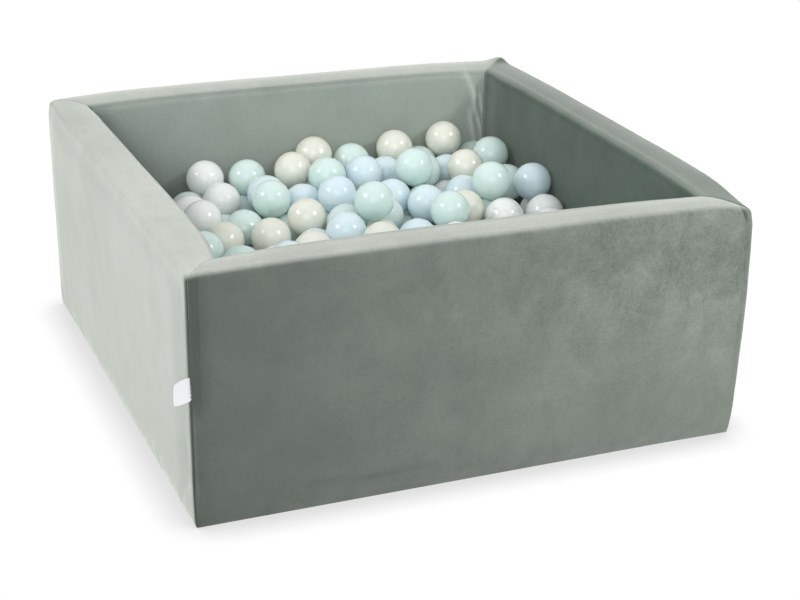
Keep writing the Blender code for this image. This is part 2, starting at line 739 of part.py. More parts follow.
def highest_ball(x, y, balls):
    """Height of the balls' surface over a place, or None between them."""
    reach = np.hypot(balls[:, 0] - x, balls[:, 1] - y)
    near = reach < BALL_RADIUS
    if not near.any():
        return None
    return float(np.max(balls[near, 2] + np.sqrt(BALL_RADIUS ** 2 - reach[near] ** 2)))


def bed_mesh(name, loose, fixed, buried):
    """The buried balls as one solid: a block whose top is the surface of the balls in it."""
    balls = np.vstack((fixed, buried))
    lows = np.concatenate((fixed[:, 2] - BALL_DIAMETER * BED_FLOOR_SHARE / 2, buried[:, 2]))
    half_x = INSIDE_WIDTH / 2 - BED_WALL_GAP
    half_y = INSIDE_DEPTH / 2 - BED_WALL_GAP
    kept = []

    def base_height(x, y):
        weight = np.exp(-((balls[:, 0] - x) ** 2 + (balls[:, 1] - y) ** 2) / BALL_DIAMETER ** 2)
        level = float((lows * weight).sum() / weight.sum())
        reach = np.hypot(loose[:, 0] - x, loose[:, 1] - y)
        over = reach < BALL_RADIUS
        if over.any():
            underside = loose[over, 2] - np.sqrt(BALL_RADIUS ** 2 - reach[over] ** 2)
            level = min(level, float(underside.min()) - BED_DISH_DROP)
        return level

    def keep(x, y, z):
        if abs(x) > half_x - BED_POINT_GAP or abs(y) > half_y - BED_POINT_GAP:
            return
        if all((x - a) ** 2 + (y - b) ** 2 > BED_POINT_GAP ** 2 for a, b, _ in kept):
            kept.append((x, y, z))

    sides = max(int(2 * half_x / (BALL_DIAMETER * BED_GRID_SHARE)), 2)
    rim = []
    for k in range(sides):
        along = -1 + 2 * k / sides
        rim += [(along * half_x, -half_y), (half_x, along * half_y),
                (-along * half_x, half_y), (-half_x, -along * half_y)]
    rim.sort(key=lambda place: math.atan2(place[1] / half_y, place[0] / half_x))
    for ball in loose:
        for x, y, _ in dome_points(ball, DISH_RINGS):
            height = highest_ball(x, y, balls)
            keep(x, y, base_height(x, y) if height is None else height)
    for ball in fixed:
        for x, y, z in dome_points(ball, FILL_DOME_RINGS):
            if z >= highest_ball(x, y, balls) - FIT_GAP:
                keep(x, y, z)
    for ball in buried:
        for x, y, z in dome_points(ball, BURIED_DOME_RINGS):
            if z >= highest_ball(x, y, balls) - FIT_GAP:
                keep(x, y, z)
    for corners in hollows_between(np.vstack((loose, fixed))):
        x, y, _ = sum(corners) / len(corners)
        if highest_ball(x, y, balls) is None:
            keep(x, y, base_height(x, y))
    step = BALL_DIAMETER * BED_GRID_SHARE
    for row in range(int(2 * half_y / step) + 1):
        for column in range(int(2 * half_x / step) + 1):
            x = -half_x + (column + 0.5) * step
            y = -half_y + (row + 0.5) * step
            if highest_ball(x, y, balls) is None:
                keep(x, y, base_height(x, y))

    points = [(x, y, base_height(x, y)) for x, y in rim] + kept
    flat = [Vector(point[:2]) for point in points]
    loop = list(range(len(rim)))
    made = delaunay_2d_cdt(flat, [], [loop], 1, FIT_GAP / 100)
    sources = made[3]
    bm = bmesh.new()
    top = []
    for point, source in zip(made[0], sources):
        top.append(bm.verts.new((point.x, point.y, points[source[0]][2])))
    for corners in made[2]:
        bm.faces.new([top[k] for k in corners])
    edge = {source[0]: k for k, source in enumerate(sources) if source[0] < len(rim)}
    upper = [top[edge[k]] for k in loop]
    lower = [bm.verts.new((vert.co.x, vert.co.y, BED_BOTTOM)) for vert in upper]
    for k, vert in enumerate(upper):
        after = (k + 1) % len(upper)
        bm.faces.new((vert, lower[k], lower[after], upper[after]))
    bm.faces.new(lower)
    return mesh_from(name, bm, 50)


def ball_bmesh(radius):
    bm = bmesh.new()
    bmesh.ops.create_uvsphere(bm, u_segments=BALL_SEGMENTS, v_segments=BALL_RINGS, radius=radius)
    return bm


def settle(place, bed_tree, test_points, test_faces):
    """Let a ball down until it lies on the bed, one fit gap off."""
    def blocked(height):
        moved = [point + Vector((place[0], place[1], height)) for point in test_points]
        return bool(BVHTree.FromPolygons(moved, test_faces).overlap(bed_tree))

    low, high = place[2] - BALL_RADIUS, place[2] + BALL_RADIUS
    for _ in range(SETTLE_HALVINGS):
        middle = (low + high) / 2
        if blocked(middle):
            low = middle
        else:
            high = middle
    return (place[0], place[1], high)


def build_balls(looks):
    loose, front = spread_listed_balls()
    fixed = fill_rest_of_top(loose, front)
    top = np.vstack((loose, fixed))
    buried = find_buried_balls(top)
    bed = bed_mesh("ball_bed", loose, fixed, buried)
    add_object("ball_bed", bed, looks["mint"])
    bed_bm = bmesh.new()
    bed_bm.from_mesh(bed)
    bed_tree = BVHTree.FromBMesh(bed_bm)
    bed_bm.free()
    test = ball_bmesh(BALL_RADIUS + FIT_GAP)
    test_points = [vert.co.copy() for vert in test.verts]
    test_faces = [[vert.index for vert in face.verts] for face in test.faces]
    test.free()
    meshes = {colour: mesh_from("ball_" + colour, ball_bmesh(BALL_RADIUS), 60) for colour in looks}
    counts = {colour: 0 for colour in looks}
    for shares, place in zip(LOOSE_BALL_SHARES, loose):
        colour = shares[0]
        counts[colour] += 1
        seat = settle(place, bed_tree, test_points, test_faces)
        name = "ball_%s_%02d" % (colour, counts[colour])
        add_object(name, meshes[colour], looks[colour], None, seat)


def build():
    clear_scene()
    velvet = material("velvet_grey_green", (0.22, 0.27, 0.23), 0.85, 0.6)
    foam = material("foam_cream", (0.78, 0.74, 0.62), 0.95)
    tape = material("zip_tape_grey", (0.20, 0.24, 0.21), 0.80)
    steel = metal("zip_metal", (0.60, 0.60, 0.60), 0.35)
    satin = material("label_satin", (0.85, 0.86, 0.86), 0.45)
    looks = {name: material("ball_" + name, colour, 0.22) for name, colour in BALL_COLOURS.items()}
    pieces = build_walls(velvet, foam)
    build_zip(pieces, tape, steel, steel)
    build_label(satin)
    build_mat(velvet, foam)
    build_balls(looks)


build()
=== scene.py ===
import math
import random

import bmesh
import bpy
import numpy as np
from mathutils import Matrix, Vector, noise


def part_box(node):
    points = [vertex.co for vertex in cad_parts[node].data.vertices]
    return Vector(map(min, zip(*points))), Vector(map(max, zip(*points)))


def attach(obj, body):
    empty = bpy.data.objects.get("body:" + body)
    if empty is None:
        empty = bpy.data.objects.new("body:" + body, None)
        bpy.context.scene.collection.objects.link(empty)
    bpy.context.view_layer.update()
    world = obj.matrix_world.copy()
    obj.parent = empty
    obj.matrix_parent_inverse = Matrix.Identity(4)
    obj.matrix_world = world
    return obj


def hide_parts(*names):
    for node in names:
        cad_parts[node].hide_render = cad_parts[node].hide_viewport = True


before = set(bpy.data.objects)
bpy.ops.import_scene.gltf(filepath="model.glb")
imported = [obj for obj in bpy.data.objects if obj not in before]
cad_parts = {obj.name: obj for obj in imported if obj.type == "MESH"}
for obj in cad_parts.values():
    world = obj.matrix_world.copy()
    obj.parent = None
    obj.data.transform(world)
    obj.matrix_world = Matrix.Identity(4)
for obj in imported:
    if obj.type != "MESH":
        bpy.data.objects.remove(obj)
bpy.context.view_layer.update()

# Camera and light, at the photograph's viewing angle
CAMERA_PLACE = (-1.0329, -2.5522, 1.2753)
CAMERA_YAW, CAMERA_PITCH, CAMERA_ROLL = 23.07, 22.735, 1.395
CAMERA_LENS = 77.01
SENSOR_WIDTH = 36.0
KEY_SIDE = 0.73
KEY_RISE = 0.429
KEY_FRONT = 0.531
KEY_ANGLE = math.radians(11)
LEFT_KEY = 0.84
RIGHT_KEY = 0.71
KEY_GLOSS = 1.7
FRONT_FILL = 0.80
FILL_ANGLE = math.radians(40)
WORLD_LIGHT = 0.72
LAMP_DISTANCE = 4
FLOOR_REACH = 9.0
FLOOR_DROP = 0.0006
FLOOR_GLOW = 1.02
# Painted shadow where the floor meets the object: its reach, its deepest tone, and where it begins and ends
CONTACT_SHADOW_REACH = 0.070
CONTACT_SHADOW_TONE = 0.73
CONTACT_SHADOW_BEGINS = 0.48
CONTACT_SHADOW_ENDS = 0.97

# Sizes of the walls, from the frame but for their thickness
THICKNESS = 0.058
INSIDE_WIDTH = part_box("right_cover")[0].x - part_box("left_cover")[1].x
INSIDE_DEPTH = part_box("back_cover")[0].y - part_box("front_cover")[1].y
WIDTH = INSIDE_WIDTH + 2 * THICKNESS
DEPTH = INSIDE_DEPTH + 2 * THICKNESS
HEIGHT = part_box("front_cover")[1].z

# Velvet covers. A rim's bulge has one size at the wall's start and one at its end.
WALL_SWELL = 0.0105
SWELL_POWER = 0.40
RIM_BULGE = {"front": (0.0060, 0.0060), "right": (-0.0035, -0.0035), "back": (0.0020, 0.0020),
             "left": (-0.0045, 0.0045)}
RIM_BULGE_DEPTH = 0.075
RIM_RISE = {"front": 0.0052, "right": 0.0052, "back": 0.0072, "left": 0.0052}
TOP_RADIUS = 0.0105
FOOT_RADIUS = 0.003
CORNER_RADIUS = 0.008
FOOT_CORNER_SHARE = 0.30
CORNER_FULL_HEIGHT = 0.120
FACE_CROWN = 0.0015
FOAM_INSET = 0.0024
TOP_CROWN = 0.0020
CLOTH = 0.0007
SEAM_DEPTH = 0.0015
SEAM_WIDTH = 0.0016
SEAM_GAP = 0.0001
SEAM_TOP_SHARE = 0.4
FLOOR_FACING = (0.2, 0.9)
DEEPEST = 0.0015
SEAM_REACH = 0.040
FINE_STEP = 0.0025
WIDE_STEP = 0.0075
COVER_TURNS = 8
FOAM_TURNS = 4

# Small waves in the cloth: height, size and seed; they are lower towards the floor
WAVES = ((0.0006, 0.13, 1), (0.0003, 0.045, 2))
WAVES_RISE = ("step", 0.0, 0.10, 0.35)
WAVE_SHIFTS = (17.3, 5.1, 9.7)
PUCKER = (0.0002, 0.024, 3)
PUCKER_REACH = 0.018
PUCKER_START = 0.006

# Loose cloth over the foam: simulated on a coarse sleeve, then laid on the fine one
CLOTH_STEP = 0.012
CLOTH_FRAMES = 20
CLOTH_LEAST = -0.0003
CLOTH_MOST = 0.0045
CLOTH_REACH = 0.050
CLOTH_TURNS = 3
CLOTH_ROUGHNESS = 0.0008
CLOTH_WAVES = ((1, 0.09, 11), (0.6, 0.035, 12))
CLOTH_SETTINGS = {
    "quality": 6,
    "mass": 0.3,
    "tension_stiffness": 15,
    "compression_stiffness": 15,
    "shear_stiffness": 8,
    "bending_stiffness": 0.8,
    "shrink_min": -0.012,
    "use_pressure": True,
    "uniform_pressure_force": 2.5,
    "vertex_group_mass": "held",
}

# How much of the loose cloth is taken out along a wall's outer top edge
CALMED = {"left": 0.85}
CALM_DROP = 0.012
CALM_REACH = 0.022
CALM_DEPTHS = (0.2, 0.8)

# Floor mat: points of the seam round its sides, as inset and height over its middle, and the
# insets of the rings on its level face
MAT_RADIUS = 0.0065
MAT_LEAST_RADIUS = 0.004
MAT_RADIUS_LOSS_SHARE = 0.4
MAT_SEAM = ((0.0009, 0), (0.00045, 0.0008), (0, 0.0022))
MAT_CORNER_STEPS = 8
MAT_SIDE_STEPS = 24
MAT_EDGE_STEPS = 6
MAT_RINGS = (0.03, 0.08, 0.16, 0.24, 0.32)

# Corners: the back right one stands up in a peak, the front right one droops like a pillow
CORNER_DEPTH = 0.110
CORNER_FULL_DEPTH = 0.004
PEAK_RISE = 0.0070
PEAK_REACH = 0.022
PEAK_MIDDLE = 0.22 * THICKNESS
DROOP = 0.0080
DROOP_REACH = 0.048
DROOP_REACH_SHARE = 2.0

# Upright outer edges that stand out or in: signs, heights, and how far at each height
EDGE_FORMS = (
    (1, -1, (0, 0.05, 0.15, 0.25, 0.31, 0.37, 0.402),
     (0.0035, 0.0048, 0.0044, 0.0033, 0.0005, -0.0022, -0.0085)),
    (-1, 1, (0, 0.05, 0.10, 0.20, 0.30, 0.37, 0.402),
     (0.001, -0.001, -0.002, -0.0025, -0.003, -0.003, -0.008)),
)
EDGE_REACH = 0.085
RIGHT_BULGE = 0.0022
RIGHT_BULGE_DEPTHS = (0.030, 0.010)
RIGHT_BULGE_HEIGHTS = (0.10, 0.35)

# Inner corners of the rim that are drawn outwards: place as signs, how far and how wide
PINCHED = ((-1, -1, 0.0085), (-1, 1, 0.0030))
PINCH_REACH = 0.038

# Folds in the cloth: start and end (along the wall from its start seam, height), rise and half width;
# the rise also sets the painted light on a ridge and the painted shade in a crease
FRONT_FOLDS = (
    ((0.366, 0.380), (0.386, 0.308), -0.0009, 0.0022),
    ((0.386, 0.308), (0.406, 0.236), -0.0011, 0.0020),
    ((0.372, 0.372), (0.412, 0.240), 0.0008, 0.0060),
    ((0.180, 0.048), (0.270, 0.041), -0.0009, 0.0045),
    ((0.270, 0.041), (0.372, 0.043), -0.0011, 0.0050),
    ((0.146, 0.036), (0.174, 0.006), -0.0010, 0.0030),
    ((0.164, 0.044), (0.192, 0.014), -0.0008, 0.0026),
    ((0.391, 0.058), (0.395, 0.030), -0.0009, 0.0022),
    ((0.410, 0.060), (0.416, 0.028), -0.0010, 0.0022),
    ((0.430, 0.058), (0.434, 0.030), -0.0009, 0.0022),
    ((0.448, 0.056), (0.451, 0.026), -0.0008, 0.0022),
    ((0.014, 0.395), (0.012, 0.235), 0.0008, 0.0011),
    ((0.020, 0.250), (0.048, 0.222), -0.0007, 0.0025),
    ((WIDTH - 0.0080, HEIGHT - 0.0060), (WIDTH - 0.0050, HEIGHT - 0.0160), -0.0070, 0.0025),
    ((WIDTH - 0.0130, HEIGHT - 0.0060), (WIDTH - 0.0055, HEIGHT - 0.0100), 0.0010, 0.0040),
)
BACK_FOLDS = (
    ((0.041, 0.388), (0.024, 0.352), 0.0034, 0.0060),
    ((0.024, 0.352), (0.020, 0.320), 0.0026, 0.0050),
    ((0.017, 0.346), (0.004, 0.298), -0.0022, 0.0024),
    ((0.021, 0.303), (0.008, 0.270), -0.0024, 0.0026),
    ((0.010, 0.350), (0.004, 0.318), 0.0022, 0.0034),
    ((0.013, 0.300), (0.003, 0.262), 0.0026, 0.0038),
    ((0.030, 0.310), (0.018, 0.252), 0.0024, 0.0050),
)
# Painted light on the folds' ridges and painted shade in their creases, for each metre of rise
FOLD_LIGHT_AND_SHADE = 110
FOLD_FACING = (0.3, 0.8)

# Balls
BALL_RADIUS = (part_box("ball_white_01")[1].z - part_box("ball_white_01")[0].z) / 2
BALL_SPACING = 2 * BALL_RADIUS + 0.0006
BALL_SIDES, BALL_RINGS = 40, 22
BED_BALL_SIDES, BED_BALL_RINGS = 28, 14
PARTING_HEIGHT = 0.00012
PARTING_STEPS = (-1.6, -0.5, 0.5, 1.6)
PARTING_SPREAD = 0.8
COLOURS = ("white", "mint", "blue", "pearl")
CHANCE_SEED = 7
TOP_LEAST_DROP = 0.0005
POINT_DIGITS = 5
DEEPER_LAYERS = (0.068, 0.118)
LAYER_RIPPLE = 0.010
LAYER_WALL_GAP = 0.003
LAYER_THROWS = 2600
LAYER_SPACING_SHARE = 0.97

# Bed balls seen over the front wall: colour, and place in metres
SEEN_BED_BALLS = (
    ("mint", -0.232, 0.010),
    ("blue", -0.169, -0.052),
    ("white", 0.130, -0.064),
    ("white", 0.327, -0.034),
)

# Label
LABEL_THICKNESS = 0.0005
LABEL_OPENING = 0.0012
LABEL_RISE = 0.0030
LABEL_DROOP = 0.0019
LABEL_CURL = 0.0035
LABEL_ARCH = 0.0010
LABEL_CORNER = 0.0011
LABEL_TRIM = 0.0016
LABEL_STEPS, LABEL_OPENING_STEPS, LABEL_BEND_STEPS, LABEL_LEVELS = 24, 5, 8, 10
SELVEDGE = 0.0016
SELVEDGE_THICKER = 1.5
SELVEDGE_EDGE = 0.02
STITCHES = 6
STITCH_PLACE = 0.0022
STITCH_LENGTH = 0.0034
STITCH_RADIUS = 0.00055


# Small helpers

def smoothstep(low, high, value):
    share = np.clip((value - low) / (high - low), 0, 1)
    return share * share * (3 - 2 * share)


def bell(value, centre, width):
    return np.exp(-((value - centre) / width) ** 2)


def waves(points, scale, seed):
    """Smooth noise at points, about -1 to 1; scale is the size of its bumps in metres."""
    shift = Vector([seed * part for part in WAVE_SHIFTS])
    flat = points.reshape(-1, 3) / scale
    values = [noise.noise(Vector(point) + shift) for point in flat]
    return np.array(values).reshape(points.shape[:-1])


def summed_waves(points, kinds):
    return sum(height * waves(points, size, seed) for height, size, seed in kinds)


def new_thing(name, data):
    made = bpy.data.objects.new(name, data)
    bpy.context.scene.collection.objects.link(made)
    return made


def new_object(mesh, look):
    mesh.materials.append(look)
    return new_thing(mesh.name, mesh)


def mesh_of(name, points, faces):
    mesh = bpy.data.meshes.new(name)
    mesh.from_pydata([tuple(point) for point in points], [], faces)
    mesh.shade_smooth()
    mesh.update()
    return mesh


def thicken(thing, thickness, offset):
    skin = thing.modifiers.new("thickness", "SOLIDIFY")
    skin.thickness = thickness
    skin.offset = offset


def mark_points(mesh, name, values):
    """Write one number for each point, which the velvet's material reads."""
    mark = mesh.attributes.new(name, "FLOAT", "POINT")
    mark.data.foreach_set("value", values.reshape(-1).astype(np.float32))


# Materials

# Colour of the velvet from deep shade to brushed pale, each with its place on the tone scale
VELVET_TONES = (
    (0.0, (0.008, 0.011, 0.008)),
    (0.105, (0.087, 0.103, 0.089)),
    (0.150, (0.126, 0.141, 0.123)),
    (0.215, (0.186, 0.205, 0.181)),
    (0.58, (0.545, 0.572, 0.530)),
    (1.0, (0.93, 0.96, 0.91)),
)
# Greener, cooler colour of the painted light bounced from the balls
COOL_BOUNCE_TINT = (0.82, 1.03, 0.95)


class Look:
    """A material and short calls that add nodes to it."""

    def __init__(self, name, colour, roughness, **inputs):
        self.material = bpy.data.materials.new(name)
        self.material.use_nodes = True
        self.nodes = self.material.node_tree.nodes
        self.links = self.material.node_tree.links
        self.shader = self.nodes["Principled BSDF"]
        self.shader.inputs["Base Color"].default_value = (*colour, 1)
        self.shader.inputs["Roughness"].default_value = roughness
        for key, value in inputs.items():
            self.shader.inputs[key.replace("_", " ")].default_value = value
        self.places = self.nodes.new("ShaderNodeTexCoord").outputs["Object"]

    def add(self, kind, output, *sources, **values):
        """A new node, with numbers or links for its first inputs and numbers for inputs by name."""
        node = self.nodes.new("ShaderNode" + kind)
        for key, value in values.items():
            node.inputs[key.replace("_", " ")].default_value = value
        for socket, source in zip(node.inputs, sources):
            if isinstance(source, float):
                socket.default_value = source
            else:
                self.links.new(source, socket)
        return node.outputs[output]

    def stretch(self, scale):
        return self.add("Mapping", "Vector", self.places, Scale=scale)

    def noise(self, scale, detail=3.0, rough=0.55, warp=0.0, places=None):
        return self.add("TexNoise", "Fac", places or self.places,
                        Scale=scale, Detail=detail, Roughness=rough, Distortion=warp)

    def spread(self, value, low, high, out_low, out_high):
        return self.add("MapRange", "Result", value,
                        From_Min=low, From_Max=high, To_Min=out_low, To_Max=out_high)

    def maths(self, kind, first, second):
        result = self.add("Math", "Value", first, second)
        result.node.operation = kind
        return result

    def attribute(self, name):
        node = self.nodes.new("ShaderNodeAttribute")
        node.attribute_name = name
        return node.outputs["Fac"]

    def ramp(self, value, stops):
        colours = self.add("ValToRGB", "Color", value)
        elements = colours.node.color_ramp.elements
        while len(elements) < len(stops):
            elements.new(0.5)
        for element, (place, colour) in zip(elements, stops):
            element.position = place
            element.color = (*colour, 1)
        return colours

    def multiply(self, first, second):
        product = self.add("VectorMath", "Vector", first, second)
        product.node.operation = "MULTIPLY"
        return product

    def to(self, socket, value):
        self.links.new(value, self.shader.inputs[socket])

    def bump(self, height, strength, distance):
        bumps = self.add("Bump", "Normal", Strength=strength, Distance=distance)
        self.links.new(height, bumps.node.inputs["Height"])
        self.to("Normal", bumps)


def velvet_look(name):
    """Short-pile velvet: mottled where it was brushed, with a sheen towards its edges."""
    look = Look(name, (0.19, 0.21, 0.19), 0.85, Sheen_Weight=1.0, Sheen_Roughness=0.38,
                Sheen_Tint=(0.90, 0.94, 0.88, 1), Specular_IOR_Level=0.15)
    brushed = look.attribute("brushed")
    patches = look.spread(look.noise(12, 9, 0.78, 0.35), 0.36, 0.64, -0.22, 0.22)
    broad = look.spread(look.noise(3.2, 3, 0.5), 0.3, 0.7, -0.09, 0.09)
    long_places = look.stretch((1.0, 1.0, 0.30))
    strokes = look.spread(look.noise(34, 4, 0.65, 0.6, long_places), 0.3, 0.7, -0.08, 0.08)
    grains = look.spread(look.noise(240, 3, 0.7), 0.35, 0.65, -0.10, 0.10)
    marks = look.maths("MULTIPLY", look.maths("ADD", look.maths("ADD", patches, grains), strokes), brushed)
    flecks = look.spread(look.noise(150, 4, 0.75), 0.56, 0.74, 0.0, -0.14)
    pile = look.spread(look.noise(700, 2, 0.6), 0.3, 0.7, -0.09, 0.09)
    total = look.maths("ADD", look.maths("ADD", marks, broad), look.maths("ADD", flecks, pile))
    # Each point's tone, with the painted light and shade laid into it, sets the base colour
    tone = look.maths("MULTIPLY", look.attribute("nap_and_light"), look.maths("ADD", total, 1.02))
    # A greener tint where painted light bounced from the balls falls
    tint = look.ramp(look.attribute("cool_bounce"), ((0.0, (1, 1, 1)), (1.0, COOL_BOUNCE_TINT)))
    look.to("Base Color", look.multiply(look.ramp(tone, VELVET_TONES), tint))
    look.bump(look.noise(1100, 3, 0.7), 0.35, 0.0006)
    return look.material


def plastic_look(name, colour, deep, roughness, **inputs):
    """Blown plastic: a soft gloss with faint waves in it."""
    look = Look(name, colour, roughness, Subsurface_Weight=1.0, Subsurface_Scale=0.060,
                Subsurface_Radius=(1.0, 1.0, 1.0), **inputs)
    cloud = look.noise(26, 3, 0.5)
    look.to("Base Color", look.ramp(cloud, ((0.30, deep), (0.62, colour))))
    look.to("Roughness", look.spread(look.noise(60, 3), 0.3, 0.7, roughness - 0.03, roughness + 0.05))
    look.bump(look.noise(45, 2, 0.4), 0.05, 0.0006)
    return look.material


def foam_look():
    look = Look("foam_open_cell", (0.78, 0.74, 0.62), 0.95)
    # Dark pore hollows, painted shade in the open cells; the same field sets their bump
    pore_hollows_and_shade = look.add("TexVoronoi", "Distance", look.places, Scale=650)
    look.to("Base Color", look.ramp(pore_hollows_and_shade, ((0.0, (0.52, 0.48, 0.38)), (0.5, (0.80, 0.76, 0.64)))))
    look.bump(pore_hollows_and_shade, 0.6, 0.0008)
    return look.material


def woven_look(name, colour, shade, scale, roughness, **inputs):
    """A plain weave from two crossed sets of threads."""
    look = Look(name, colour, roughness, **inputs)
    threads = []
    for direction in ("X", "Z"):
        wave = look.add("TexWave", "Fac", look.places, Scale=scale, Distortion=0.4, Detail=1.0)
        wave.node.bands_direction = direction
        threads.append(wave)
    weave = look.maths("MULTIPLY", threads[0], threads[1])
    look.to("Base Color", look.ramp(weave, ((0.0, shade), (0.6, colour))))
    look.bump(weave, 0.5, 0.0002)
    return look.material


def metal_look():
    look = Look("zip_nickel", (0.66, 0.65, 0.62), 0.28, Metallic=1.0)
    wear = look.noise(300, 5, 0.7)
    look.to("Base Color", look.ramp(wear, ((0.3, (0.50, 0.49, 0.46)), (0.7, (0.72, 0.71, 0.69)))))
    look.to("Roughness", look.spread(wear, 0.3, 0.7, 0.20, 0.38))
    look.bump(look.noise(1500, 2), 0.15, 0.0001)
    return look.material


# Camera, light and floor

def camera_axes():
    yaw, pitch, roll = (math.radians(angle) for angle in (CAMERA_YAW, CAMERA_PITCH, CAMERA_ROLL))
    ahead = Vector((math.sin(yaw) * math.cos(pitch), math.cos(yaw) * math.cos(pitch), -math.sin(pitch)))
    right = Vector((math.cos(yaw), -math.sin(yaw), 0))
    up = right.cross(ahead)
    across = math.cos(roll) * right + math.sin(roll) * up
    upward = -math.sin(roll) * right + math.cos(roll) * up
    return across, upward, ahead


def add_camera():
    across, upward, ahead = camera_axes()
    data = bpy.data.cameras.new("camera")
    data.lens = CAMERA_LENS
    data.sensor_width = SENSOR_WIDTH
    camera = new_thing("camera", data)
    turn = Matrix((across, upward, -ahead)).transposed().to_4x4()
    camera.matrix_world = Matrix.Translation(CAMERA_PLACE) @ turn
    bpy.context.scene.camera = camera


def add_lamp(name, towards, strength, angle, gloss):
    """A large soft lamp, as far away as a sun so that its light is even."""
    data = bpy.data.lights.new(name, "SUN")
    data.energy = strength
    data.angle = angle
    data.specular_factor = gloss
    lamp = new_thing(name, data)
    lamp.rotation_euler = towards.to_track_quat("Z", "Y").to_euler()
    lamp.location = towards.normalized() * LAMP_DISTANCE


def add_studio():
    add_camera()
    across, upward, ahead = camera_axes()
    for name, side, strength in (("left_key", -1, LEFT_KEY), ("right_key", 1, RIGHT_KEY)):
        towards = side * KEY_SIDE * across + KEY_RISE * upward - KEY_FRONT * ahead
        add_lamp(name, towards, strength, KEY_ANGLE, KEY_GLOSS)
    add_lamp("front_fill", -ahead, FRONT_FILL, FILL_ANGLE, 0)
    world = bpy.data.worlds.new("studio")
    world.use_nodes = True
    background = world.node_tree.nodes["Background"]
    background.inputs["Color"].default_value = (1, 1, 1, 1)
    background.inputs["Strength"].default_value = WORLD_LIGHT
    bpy.context.scene.world = world
    bpy.context.scene.view_settings.view_transform = "Standard"
    look = Look("white_floor", (0, 0, 0), 1.0, Specular_IOR_Level=0.0, Emission_Strength=FLOOR_GLOW)
    # Painted shadow: the floor's glow gets darker where it is occluded near the object
    contact_shadow = look.add("AmbientOcclusion", "AO", Distance=CONTACT_SHADOW_REACH)
    stops = ((CONTACT_SHADOW_BEGINS, (CONTACT_SHADOW_TONE,) * 3), (CONTACT_SHADOW_ENDS, (1, 1, 1)))
    look.to("Emission Color", look.ramp(contact_shadow, stops))
    signs = ((-1, -1), (1, -1), (1, 1), (-1, 1))
    corners = [(x * FLOOR_REACH, y * FLOOR_REACH, -FLOOR_DROP) for x, y in signs]
    floor = new_object(mesh_of("studio_floor", corners, [(0, 1, 2, 3)]), look.material)


# Velvet walls. A wall is drawn in its own frame: u along it, v from its outer face inwards, z up.

def arc(centre, radius, start, end, steps):
    turns = [math.radians(start + (end - start) * k / steps) for k in range(steps + 1)]
    return [(centre[0] + radius * math.cos(t), centre[1] + radius * math.sin(t)) for t in turns]


def even_steps(start, end, step):
    count = max(int(round(abs(end - start) / step)), 1)
    return [start + (end - start) * k / count for k in range(1, count)]


def wall_section(step, turns):
    """Points around a wall: its place through the thickness and its height."""
    outer, inner = FACE_CROWN, THICKNESS
    top = HEIGHT - TOP_CROWN
    points = arc((outer + FOOT_RADIUS, FOOT_RADIUS), FOOT_RADIUS, 270, 180, turns // 2)
    points += [(outer, z) for z in even_steps(FOOT_RADIUS, top - TOP_RADIUS, step)]
    points += arc((outer + TOP_RADIUS, top - TOP_RADIUS), TOP_RADIUS, 180, 90, turns)
    for v in even_steps(outer + TOP_RADIUS, inner - TOP_RADIUS, step / 2):
        share = (v - outer - TOP_RADIUS) / (inner - outer - 2 * TOP_RADIUS)
        points.append((v, top + TOP_CROWN * 4 * share * (1 - share)))
    points += arc((inner - TOP_RADIUS, top - TOP_RADIUS), TOP_RADIUS, 90, 0, turns)
    points += [(inner, z) for z in even_steps(top - TOP_RADIUS, FOOT_RADIUS, step)]
    points += arc((inner - FOOT_RADIUS, FOOT_RADIUS), FOOT_RADIUS, 0, -90, turns // 2)
    points += [(v, 0.0) for v in even_steps(inner - FOOT_RADIUS, outer + FOOT_RADIUS, step)]
    return points


def wall_stations(length, fine, wide, turns):
    """Places along a wall where its section stands: an outer and an inner point each."""
    outer, inner = FACE_CROWN, THICKNESS
    corner = FACE_CROWN + CORNER_RADIUS
    bend = arc((corner, corner), CORNER_RADIUS, 225, 270, turns)
    spacing = CORNER_RADIUS * math.pi / 4 / turns
    half = [(u, v, inner + spacing * k, inner) for k, (u, v) in enumerate(bend)]
    after_bend = half[-1][2]
    for k in range(1, int(SEAM_REACH / fine) + 1):
        half.append((corner + fine * k, outer, after_bend + fine * k, inner))
    stations = list(half)
    last_outer, last_inner = half[-1][0], half[-1][2]
    count = int((length - 2 * last_outer) / wide)
    for k in range(1, count):
        share = k / count
        stations.append((last_outer + (length - 2 * last_outer) * share, outer,
                         last_inner + (length - 2 * last_inner) * share, inner))
    stations += [(length - u, v, length - inner_u, inner_v) for u, v, inner_u, inner_v in reversed(half)]
    return stations


def crown(share):
    return 1 - (2 * np.clip(share, 0, 1) - 1) ** 4


def grid_normals(grid):
    """Outward normals of a grid that is open along its first index and closed round its second."""
    along = np.gradient(grid, axis=0)
    around = np.roll(grid, -1, axis=1) - np.roll(grid, 1, axis=1)
    normals = np.cross(around, along)
    normals /= np.linalg.norm(normals, axis=2, keepdims=True) + 1e-12
    middle = grid.mean(axis=1, keepdims=True)
    if ((grid - middle) * normals).sum() < 0:
        normals = -normals
    return normals


